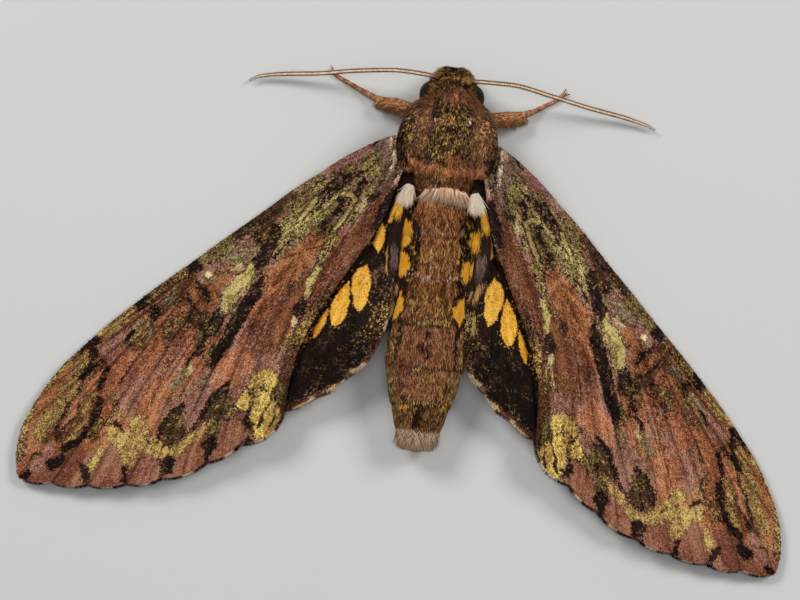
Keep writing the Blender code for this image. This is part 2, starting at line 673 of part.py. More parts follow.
def wing_solid(outline, veins, word, lift, thickness=(WING_THICKNESS / 2, WING_THICKNESS / 2)):
    """A closed thin wing: both faces share one triangulation, and the veins rise from the upper one."""
    centres, feet = vein_lines(veins, outline)
    low = np.min(outline, axis=0)
    high = np.max(outline, axis=0)
    grid = [
        (u + (row % 2) * FILL_STEP / 2, v)
        for row, v in enumerate(np.arange(low[1], high[1], FILL_STEP * 0.87))
        for u in np.arange(low[0], high[0], FILL_STEP)
    ]
    lines = [np.array(outline + outline[:1]), *centres, *feet]
    grid = np.array(grid)
    grid = grid[inside(grid, outline) & (distance_to_lines(grid, lines) > FILL_STEP * 0.3)]
    points = list(outline)
    edges = [(i, (i + 1) % len(outline)) for i in range(len(outline))]
    for line in [*centres, *feet]:
        edges += [(len(points) + i, len(points) + i + 1) for i in range(len(line) - 1)]
        points += [tuple(p) for p in line]
    points += [tuple(p) for p in grid]
    flat, _, triangles, _, _, _ = delaunay_2d_cdt([Vector(p) for p in points], edges, [], 0, 1e-3)
    flat = np.array([tuple(p) for p in flat])
    middles = np.array([flat[list(t)].mean(axis=0) for t in triangles])
    keep = inside(middles, outline)
    triangles = [tuple(t) for t, good in zip(triangles, keep) if good]
    ridge = 0.0
    if veins:
        ridge = VEIN_HEIGHT * np.clip(1 - distance_to_lines(flat, centres) / VEIN_HALF_WIDTH, 0.0, 1.0)
    middle = roof_height(flat[:, 0], flat[:, 1]) + lift
    x, y = wing_place(flat[:, 0], flat[:, 1], word)
    upper = np.stack([x, y, middle + thickness[0] + ridge], axis=1)
    lower = np.stack([x, y, middle - thickness[1]], axis=1)
    count = len(flat)
    faces = triangles + [(c + count, b + count, a + count) for a, b, c in triangles]
    directed = {(t[i], t[(i + 1) % 3]) for t in triangles for i in range(3)}
    for a, b in directed:
        if (b, a) not in directed:
            faces += [(b, a, a + count), (b, a + count, b + count)]
    used = sorted({i for face in faces for i in face})
    renumber = {old: new for new, old in enumerate(used)}
    verts = np.concatenate([upper, lower])[used]
    return verts, [tuple(renumber[i] for i in face) for face in faces]


def wing_clearance(word):
    """All the room under the forewing's upper face near its root, and the gap above it."""
    root = [(u, v) for u, v in forewing_outline() if u < 16.0]
    top = WING_THICKNESS / 2 + VEIN_HEIGHT + GAP
    return wing_solid(root, (), word, FOREWING_LIFT, (top, 8.0))


def add_wings(materials, carrier):
    """Both pairs of wings, trimmed to the thorax that they grow from."""
    for word, side in SIDES.items():
        hinge = (side * HINGE[0], HINGE[1], 7.0)
        shape = wing_solid(forewing_outline(), FOREWING_VEINS, word, FOREWING_LIFT)
        forewing = finish_piece(f"forewing_{word}", shape, materials["wing"], hinge, carrier)
        combine(forewing, [grown_thorax(carrier)], "DIFFERENCE")
        shape = wing_solid(list(HINDWING_OUTLINE), HINDWING_VEINS, word, HINDWING_LIFT)
        hindwing = finish_piece(f"hindwing_{word}", shape, materials["hindwing"], hinge, carrier)
        combine(hindwing, [grown_thorax(carrier), grown_abdomen(carrier)], "DIFFERENCE")


def joint_plane(before, after):
    """Normal of the plane that halves the angle between two leg pieces where they meet."""
    a = np.subtract(before[-1], before[-2])
    b = np.subtract(after[1], after[0])
    normal = a / np.linalg.norm(a) + b / np.linalg.norm(b)
    return normal / np.linalg.norm(normal)


def add_claws(tarsus, tip, heading, carrier):
    """Two small claws that spread from the end of a foot."""
    heading = np.array((heading[0], heading[1], 0.0)) / np.hypot(heading[0], heading[1])
    across = np.array((-heading[1], heading[0], 0.0))
    claws = []
    for spread in (-1, 1):
        root = np.array(tip) + across * spread * 0.1
        bend = root + (heading * 0.8 + across * spread * 0.5) * CLAW_LENGTH * 0.6
        point = root + (heading * 0.9 + across * spread * 0.9) * CLAW_LENGTH
        radii = (CLAW_RADIUS, CLAW_RADIUS * 0.8, 0.08)
        shape = tube_solid((root, bend, point), radii, 5, 0.45, heading, heading)
        claws.append(finish_piece("claw", on_floor(shape), carrier=carrier))
    combine(tarsus, claws, "UNION")


def on_floor(shape):
    """Presses what would reach below the floor flat against it."""
    verts, faces = shape
    return [(x, y, max(z, 0.0)) for x, y, z in verts], faces


def fringe_locks(points, side, carrier):
    """The fringe along the rear edge of a foreleg's tibia, leaning back and a little outwards."""
    lean = np.array((side * FRINGE_LEAN[0], FRINGE_LEAN[1], FRINGE_LEAN[2]))
    path, _, _ = path_through(points, along_length(points) / (FRINGE_COUNT + 1))
    locks = []
    for number, root in enumerate(path[2:-1]):
        length = FRINGE_LENGTH * (1.0 - 0.12 * (number % 3))
        start = root + (0.0, 0.1, 0.25 - 0.25 * (number % 2))
        bend = start + lean * length * 0.6 + (0.0, 0.0, 0.08)
        tip = start + lean * length
        shape = lock_solid((start, bend, tip), FRINGE_WIDTH, LOCK_THICKNESS, (0.0, 0.0, 1.0))
        locks.append(finish_piece("fringe_lock", shape, carrier=carrier))
    return locks


def spurs(points, carrier):
    """A pair of slender spurs near the lower end of a tibia."""
    start, end = (np.array(p, float) for p in points[-2:])
    heading = (end - start) / np.linalg.norm(end - start)
    across = np.cross(heading, (0.0, 0.0, 1.0))
    pieces = []
    for spread in (-1, 1):
        root = end - heading * 0.9 + across * spread * 0.15
        tip = root + heading * SPUR_LENGTH * 0.8 + across * spread * SPUR_LENGTH * 0.55
        tip[2] = max(tip[2], SPUR_RADIUS)
        shape = tube_solid((root, tip), (SPUR_RADIUS, 0.08), 5, SPUR_LENGTH, heading, heading)
        pieces.append(finish_piece("spur", shape, carrier=carrier))
    return pieces


def add_leg(pair, word, route, materials, carrier):
    """Femur, tibia and foot, cut flat where they meet, with the foot pressed flat on the floor."""
    side = SIDES[word]
    parts = {name: [(side * x, y, z) for x, y, z in points] for name, points in route.items()}
    knee = joint_plane(parts["femur"], parts["tibia"])
    ankle = joint_plane(parts["tibia"], parts["tarsus"])
    ends = {"femur": (None, knee), "tibia": (knee, ankle), "tarsus": (ankle, None)}
    for name, (start_cut, end_cut) in ends.items():
        points = parts[name]
        shape = on_floor(tube_solid(points, LEG_RADII[pair][name], 8, 1.7, start_cut, end_cut))
        piece = finish_piece(f"{pair}_{name}_{word}", shape, materials["leg"], points[0], carrier)
        if name == "tarsus":
            add_claws(piece, points[-1], np.subtract(points[-1], points[-2]), carrier)
        else:
            combine(piece, [grown_thorax(carrier)], "DIFFERENCE")
        if name == "tibia":
            extras = fringe_locks(points, side, carrier) if pair == "fore" else spurs(points, carrier)
            combine(piece, extras, "UNION")


def add_legs(materials, carrier):
    for word in SIDES:
        add_leg("fore", word, FORE_LEGS[word], materials, carrier)
        add_leg("mid", word, MID_LEG, materials, carrier)
        add_leg("hind", word, HIND_LEG, materials, carrier)


def main():
    clear_scene()
    materials = make_materials()
    carrier = bpy.data.objects.new("moth", None)
    bpy.context.scene.collection.objects.link(carrier)
    carrier.location = (-OUTLINE_MIDDLE[0] * MM, -OUTLINE_MIDDLE[1] * MM, 0.0)
    bpy.context.view_layer.update()
    add_head(materials, carrier)
    add_thorax(materials, carrier)
    add_abdomen(materials, carrier)
    add_wings(materials, carrier)
    add_legs(materials, carrier)


main()
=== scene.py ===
"""Looks of a large hawk moth at rest, with its wings spread and swept back.

Sizes are millimetres in the moth's own frame, +X to its right, +Y to its head and +Z up from the surface that
it stands on, until write_piece() turns them into metres in the model's frame. Side -1 is its left, side 1 its
right. On a wing, u runs from the hinge to the tip and v towards the rear margin. Colours are sRGB from 0 to
255 in triples: the darkest scales of a marking, most of its scales, and its palest scales.
"""

import itertools
from typing import NamedTuple

import bpy
import numpy as np
from mathutils import Matrix, Vector


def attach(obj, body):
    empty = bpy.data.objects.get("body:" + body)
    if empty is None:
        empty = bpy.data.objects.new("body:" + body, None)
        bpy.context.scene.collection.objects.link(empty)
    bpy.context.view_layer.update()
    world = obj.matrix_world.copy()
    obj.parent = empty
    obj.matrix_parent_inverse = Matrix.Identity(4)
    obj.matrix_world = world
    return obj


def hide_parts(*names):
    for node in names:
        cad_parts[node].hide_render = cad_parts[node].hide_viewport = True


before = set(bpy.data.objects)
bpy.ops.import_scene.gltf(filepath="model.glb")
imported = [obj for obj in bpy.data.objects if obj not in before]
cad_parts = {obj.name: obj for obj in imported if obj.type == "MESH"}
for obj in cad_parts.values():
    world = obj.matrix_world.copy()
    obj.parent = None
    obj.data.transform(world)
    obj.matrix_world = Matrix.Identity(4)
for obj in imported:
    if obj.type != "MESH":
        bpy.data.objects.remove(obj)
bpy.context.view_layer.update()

MM = 0.001
ORIGIN = np.array((1.4, 21.6, 0.0))
SIDES = {"left": -1, "right": 1}

# Body sections: place along Y, half width, height of the middle, half height
BODY_SECTIONS = (
    (-40.8, 1.9, 3.1, 1.2), (-39.8, 2.7, 3.3, 1.9), (-37.5, 3.6, 3.6, 2.5), (-35.0, 4.3, 3.9, 2.9),
    (-32.0, 5.1, 4.1, 3.3), (-29.0, 5.5, 4.4, 3.7), (-25.0, 5.3, 4.7, 4.0), (-10.0, 5.2, 5.2, 4.4),
    (-6.5, 4.1, 5.5, 4.0), (-5.6, 4.4, 5.7, 4.2), (-3.6, 5.5, 5.9, 4.7), (-1.0, 6.5, 6.0, 4.9),
    (0.8, 6.6, 6.0, 4.9), (2.5, 6.0, 5.9, 4.6), (4.2, 5.3, 5.7, 4.1), (5.15, 4.6, 5.45, 3.6),
    (6.5, 3.5, 5.2, 3.4), (7.8, 3.1, 5.0, 3.1), (9.0, 2.6, 4.8, 2.6), (9.7, 1.9, 4.7, 1.9),
    (10.1, 0.8, 4.6, 0.9),
)
BODY_REAR = -41.0
BODY_FRONT = 10.15
SKIN_INSET = 0.42
SKIN_STEP = 0.24
SKIN_SIDES = 128
SEGMENT_ENDS = (-6.6, -12.3, -18.2, -24.4, -30.0, -35.0, -39.0)
HEAD_REAR = 5.2
THORAX_REAR = -6.5
TEGULA_CENTRE = (5.0, -0.6, 8.1)
TEGULA_RADII = (2.0, 4.2, 1.9)

EYE_CENTRE = (2.4, 6.3, 4.9)
EYE_RADIUS = 1.98

ANTENNA_RADIUS = 0.3
ANTENNA_TIP_RADIUS = 0.16
ANTENNA_RING = 0.36
ANTENNAE = {
    "left": (
        (-1.4, 8.5, 6.4), (-2.9, 8.7, 6.7), (-7.3, 9.0, 5.8), (-12.7, 8.6, 3.7),
        (-18.0, 7.8, 2.2), (-22.7, 7.3, 1.4), (-26.1, 6.7, 1.0), (-27.4, 6.0, 0.9),
    ),
    "right": (
        (1.4, 8.4, 6.4), (3.2, 8.5, 6.7), (7.8, 8.6, 5.8), (13.3, 7.8, 3.7),
        (18.8, 6.8, 2.2), (23.4, 6.1, 1.4), (26.5, 5.4, 1.0), (27.8, 4.9, 0.9),
    ),
}
PALP_PATH = ((1.15, 6.6, 1.3), (1.15, 8.6, 1.7), (1.1, 9.7, 2.9), (0.95, 9.75, 4.3))
PALP_RADII = (0.6, 0.72, 0.58, 0.36)
COIL_CENTRE = (0.0, 7.6, 1.35)
COIL_TURNS = 2.6
COIL_REACH = (0.24, 0.86)
COIL_TUBE = 0.12
COIL_RING = 0.18

# Wings, as in the solids
WING_LENGTH = 67.65
HINGE = (6.78, -1.36)
SWEEP_DEGREES = {"left": 43.17, "right": 39.75}
COSTA_BOW = {"left": 1.07, "right": 0.93}
COSTA = (
    (-2.5, -0.5), (0.0, -1.8), (3.2, -2.8), (6.5, -3.6), (10.0, -4.1), (14.0, -4.7), (19.0, -5.1),
    (25.0, -5.7), (31.0, -6.2), (37.5, -6.8), (46.0, -7.2), (52.0, -7.1), (58.0, -6.1), (62.0, -4.8),
    (65.4, -2.6), (WING_LENGTH, 0.0),
)
MARGIN_NOTCHES = (
    (WING_LENGTH, 0.0), (64.6, 3.6), (61.1, 7.1), (57.1, 10.4), (53.0, 13.0), (47.0, 15.4), (41.9, 16.6),
    (34.1, 16.9),
)
SCALLOPS = (0.1, 0.1, 0.09, 0.1, 0.1, 0.08, 0.18)
INNER_MARGIN = (
    (30.4, 14.0), (26.2, 11.5), (21.0, 9.8), (13.5, 8.0), (7.5, 6.4), (4.5, 5.0), (2.5, 3.9),
    (0.3, 3.0), (-2.5, 2.5),
)
FOREWING_VEINS = (
    ((1.0, -1.3), (10.0, -3.2), (20.0, -4.3), (33.0, -5.9), (45.0, -7.0)),
    ((1.0, -0.3), (15.0, -2.6), (30.0, -4.3)),
    ((22.0, -3.5), (36.0, -5.6), (51.5, -6.9)),
    ((30.0, -4.3), (44.0, -5.5), (57.7, -5.9)),
    ((30.0, -4.3), (46.0, -4.3), (62.0, -4.5)),
    ((30.0, -4.3), (48.0, -3.0), (67.3, -0.1)),
    ((30.0, -4.3), (47.0, -1.0), (64.6, 3.6)),
    ((30.6, -2.6), (46.0, 1.6), (61.1, 7.1)),
    ((30.6, 0.0), (44.0, 5.0), (57.1, 10.4)),
    ((29.0, 2.6), (41.0, 7.6), (53.0, 13.0)),
    ((25.0, 3.1), (36.5, 8.6), (47.0, 15.4)),
    ((18.0, 2.1), (30.0, 8.0), (41.9, 16.6)),
    ((1.0, 1.0), (12.0, 1.6), (18.0, 2.1), (25.0, 3.1), (29.0, 2.6)),
    ((30.0, -4.3), (30.6, -2.6), (30.6, 0.0), (29.0, 2.6)),
    ((0.8, 2.0), (12.0, 5.6), (24.0, 10.0), (36.6, 17.6)),
)
HINDWING_FRONT = (
    (-1.5, 2.0), (3.0, 2.4), (10.0, 3.5), (20.0, 5.0), (30.0, 7.5), (38.0, 10.4), (42.0, 13.0),
)
HINDWING_REAR = (
    (-1.5, 4.7), (-0.3, 4.9), (2.7, 5.0), (4.6, 6.2), (7.6, 8.2), (10.0, 10.4), (11.5, 12.5), (13.0, 14.5),
    (15.5, 16.5), (18.0, 18.0), (20.5, 18.9), (22.8, 19.4), (25.3, 19.1), (27.6, 19.2), (30.0, 18.4),
    (32.6, 17.9), (34.6, 16.8), (38.4, 15.0), (42.0, 13.0),
)
HINDWING_VEINS = (
    ((1.5, 2.9), (20.0, 6.2), (41.4, 12.9)),
    ((1.5, 3.4), (9.0, 5.6), (17.0, 7.8)),
    ((17.0, 7.8), (28.0, 10.6), (38.4, 15.0)),
    ((17.5, 9.2), (26.5, 12.4), (34.6, 16.8)),
    ((16.0, 10.2), (23.5, 14.0), (30.0, 18.4)),
    ((13.0, 9.4), (19.5, 14.0), (25.3, 19.1)),
    ((1.8, 3.9), (8.0, 6.6), (13.0, 9.4), (16.0, 10.2), (17.5, 9.2)),
    ((17.0, 7.8), (17.5, 9.2)),
    ((1.6, 4.3), (9.0, 8.2), (14.5, 13.4), (20.5, 18.9)),
)
COSTA_HEIGHT = 0.5
SHOULDER_RISE = 5.0
SHOULDER_LENGTH = 8.0
ROOF_SLOPES = ((0.0, 0.40), (12.0, 0.33), (19.0, 0.235), (33.0, 0.14), (42.0, 0.10), (68.0, 0.03))
CAMBER = 0.35
CAMBER_WIDTH = 22.0
FOREWING_LIFT = 0.6
HINDWING_LIFT = -0.6
WING_HALF_THICKNESS = 0.2
WING_EDGE_THICKNESS = 0.05
WING_EDGE_WIDTH = 1.2
VEIN_HEIGHT = 0.2
LABEL_PLACE = 36.0
VEIN_HALF_WIDTH = 0.4
WING_GRID_STEP = 0.27
FRINGE_INSET = 0.4
COSTA_INSET = 0.05
WING_STRETCH = 1.7
BODY_STRETCH = 0.8

# Legs: centre lines of the right legs, hip first, with radii at the same points
FORE_LEGS = {
    "left": (
        (2.4, 1.4, 1.5), (4.6, 4.2, 2.2), (7.0, 4.6, 2.0), (9.3, 5.0, 1.4), (12.2, 6.2, 0.55),
        (13.9, 7.0, 0.25), (15.6, 7.8, 0.25), (16.4, 8.4, 0.25),
    ),
    "right": (
        (2.4, 1.2, 1.5), (4.9, 4.0, 2.2), (7.4, 4.3, 2.0), (9.6, 4.9, 1.4), (11.5, 5.8, 0.6),
        (12.7, 6.6, 0.25), (14.0, 7.4, 0.25), (15.2, 8.5, 0.25),
    ),
}
MID_LEG = (
    (3.0, -0.6, 1.4), (7.4, -2.6, 2.8), (11.0, -7.0, 1.2), (13.0, -9.4, 0.3), (14.2, -11.0, 0.25),
    (15.0, -12.2, 0.25),
)
HIND_LEG = (
    (2.4, -3.6, 1.5), (7.4, -7.6, 3.0), (9.4, -16.0, 1.3), (10.2, -19.6, 0.3), (11.2, -22.6, 0.25),
    (11.9, -25.0, 0.25),
)
LEG_GAIN = 1.5
LEG_HAIRS = {"fore": 6500, "mid": 3200, "hind": 3200}
FOOT_JOINT = 1.5
FORE_FRINGE_HAIRS = 2200
LEG_RADII = {
    "fore": (0.55, 0.62, 0.85, 0.5, 0.3, 0.26, 0.25, 0.22),
    "mid": (0.55, 0.5, 0.4, 0.28, 0.26, 0.22),
    "hind": (0.6, 0.55, 0.45, 0.28, 0.26, 0.22),
}
# How far a leg starts within the body, sideways and upwards from its hip
HIP_DEPTH = (-0.5, 1.5)
TIBIA_POINTS = {"fore": (1, 3), "mid": (1, 2), "hind": (1, 2)}

# The camera looks straight down, with the moth turned a little in its picture
CAMERA_PLACE = (-0.00273, 0.0001, 0.40)
CAMERA_RIGHT = (0.9948, 0.1020, 0.0)
CAMERA_UP = (-0.1020, 0.9948, 0.0)
CAMERA_LENS = 132.8

PALETTE = {
    "lichen": ((84, 68, 38), (144, 126, 70), (204, 188, 112)),
    "cream": ((150, 124, 84), (196, 172, 122), (228, 208, 154)),
    "bright": ((122, 102, 58), (184, 162, 96), (222, 204, 130)),
    "black": ((10, 6, 5), (24, 15, 11), (54, 36, 24)),
    "dark": ((24, 14, 9), (52, 32, 21), (100, 72, 46)),
    "rust": ((86, 42, 22), (138, 80, 46), (190, 130, 84)),
    "purple": ((96, 52, 41), (150, 97, 80), (192, 148, 132)),
    "brown": ((60, 28, 14), (108, 58, 34), (152, 96, 64)),
    "tan": ((140, 84, 56), (198, 126, 88), (230, 168, 124)),
    "orange": ((98, 50, 30), (162, 96, 60), (208, 144, 102)),
    "margin": ((100, 52, 38), (144, 90, 68), (178, 126, 100)),
    "tornus": ((160, 122, 62), (232, 196, 100), (255, 232, 128)),
    "band": ((120, 90, 48), (184, 150, 82), (228, 200, 118)),
    "apex": ((88, 60, 34), (154, 124, 70), (208, 180, 104)),
    "umber": ((48, 26, 15), (92, 54, 34), (140, 96, 68)),
    "costal": ((92, 56, 48), (156, 106, 92), (190, 152, 138)),
    "olive": ((76, 58, 32), (130, 110, 64), (184, 162, 94)),
    "grey": ((84, 70, 50), (136, 122, 88), (184, 172, 128)),
    "lilac": ((92, 60, 48), (138, 102, 86), (182, 148, 130)),
    "flecked": ((84, 54, 32), (152, 112, 62), (220, 186, 110)),
    "stigma": ((226, 208, 140), (240, 222, 156), (246, 232, 180)),
    "hind_orange": ((218, 140, 40), (250, 186, 62), (255, 206, 96)),
    "hind_black": ((12, 7, 6), (28, 16, 11), (48, 32, 22)),
    "hind_speckle": ((64, 44, 28), (108, 84, 54), (164, 138, 92)),
    "hind_rust": ((64, 34, 24), (108, 68, 50), (150, 108, 84)),
    "root_hair": ((70, 50, 38), (118, 92, 72), (168, 142, 116)),
    "white": ((170, 134, 104), (244, 222, 192), (254, 244, 228)),
    "crown": ((56, 40, 24), (122, 94, 54), (190, 156, 92)),
    "moss": ((50, 34, 22), (120, 90, 48), (206, 168, 90)),
    "thorax_dusk": ((40, 24, 18), (78, 52, 38), (128, 92, 66)),
    "thorax_rust": ((74, 38, 22), (132, 80, 48), (186, 128, 82)),
    "collar": ((52, 30, 18), (94, 58, 36), (140, 98, 64)),
    "rust_band": ((84, 44, 26), (148, 88, 54), (188, 130, 88)),
    "dark_band": ((36, 20, 12), (78, 46, 28), (132, 90, 56)),
    "pale_band": ((96, 52, 32), (168, 122, 92), (236, 212, 186)),
    "dorsum": ((48, 24, 12), (98, 54, 31), (172, 118, 70)),
    "dorsum_rear": ((38, 19, 9), (78, 42, 23), (146, 98, 50)),
    "plum": ((60, 31, 22), (114, 68, 50), (168, 114, 78)),
    "dark_end": ((46, 27, 16), (88, 58, 36), (156, 116, 66)),
    "brush": ((66, 38, 25), (196, 146, 108), (252, 224, 192)),
    "spot": ((206, 134, 34), (240, 174, 46), (250, 196, 84)),
    "grey_strip": ((40, 29, 25), (72, 55, 48), (120, 98, 90)),
    "under": ((92, 68, 46), (142, 114, 82), (182, 154, 116)),
    "under_wing": ((84, 56, 40), (124, 90, 66), (160, 126, 98)),
    "under_yellow": ((150, 106, 48), (196, 148, 74), (222, 180, 108)),
    "leg": ((66, 34, 22), (130, 80, 56), (196, 144, 104)),
    "leg_pale": ((140, 106, 76), (186, 152, 116), (216, 188, 152)),
    "feeler_cream": ((196, 168, 130), (232, 212, 178), (248, 236, 212)),
    "feeler_rust": ((70, 34, 20), (116, 62, 38), (160, 98, 64)),
}


class Patch(NamedTuple):
    """A marking with a closed outline. Its edge frays over soft millimetres and wanders by ragged."""

    colour: str
    outline: tuple
    soft: float = 0.5
    ragged: float = 0.35
    cover: float = 1.0


class Stroke(NamedTuple):
    """A marking along a line, with its half width."""

    colour: str
    line: tuple
    width: float
    soft: float = 0.3
    ragged: float = 0.3
    cover: float = 1.0


# Pale scales that stand loosely among darker ones: the colour of those, and the share of the pale ones
LOOSE = {
    "lichen": ("black", 0.66),
    "bright": ("dark", 0.92),
    "band": ("umber", 0.76),
    "tornus": ("dark", 0.9),
    "apex": ("umber", 0.62),
    "olive": ("dark", 0.55),
    "flecked": ("dark", 0.42),
    "grey": ("umber", 0.62),
    "moss": ("black", 0.38),
    "crown": ("black", 0.42),
    "thorax_rust": ("thorax_dusk", 0.62),
    "hind_speckle": ("hind_black", 0.22),
}
GROUND_BEYOND = 0.22


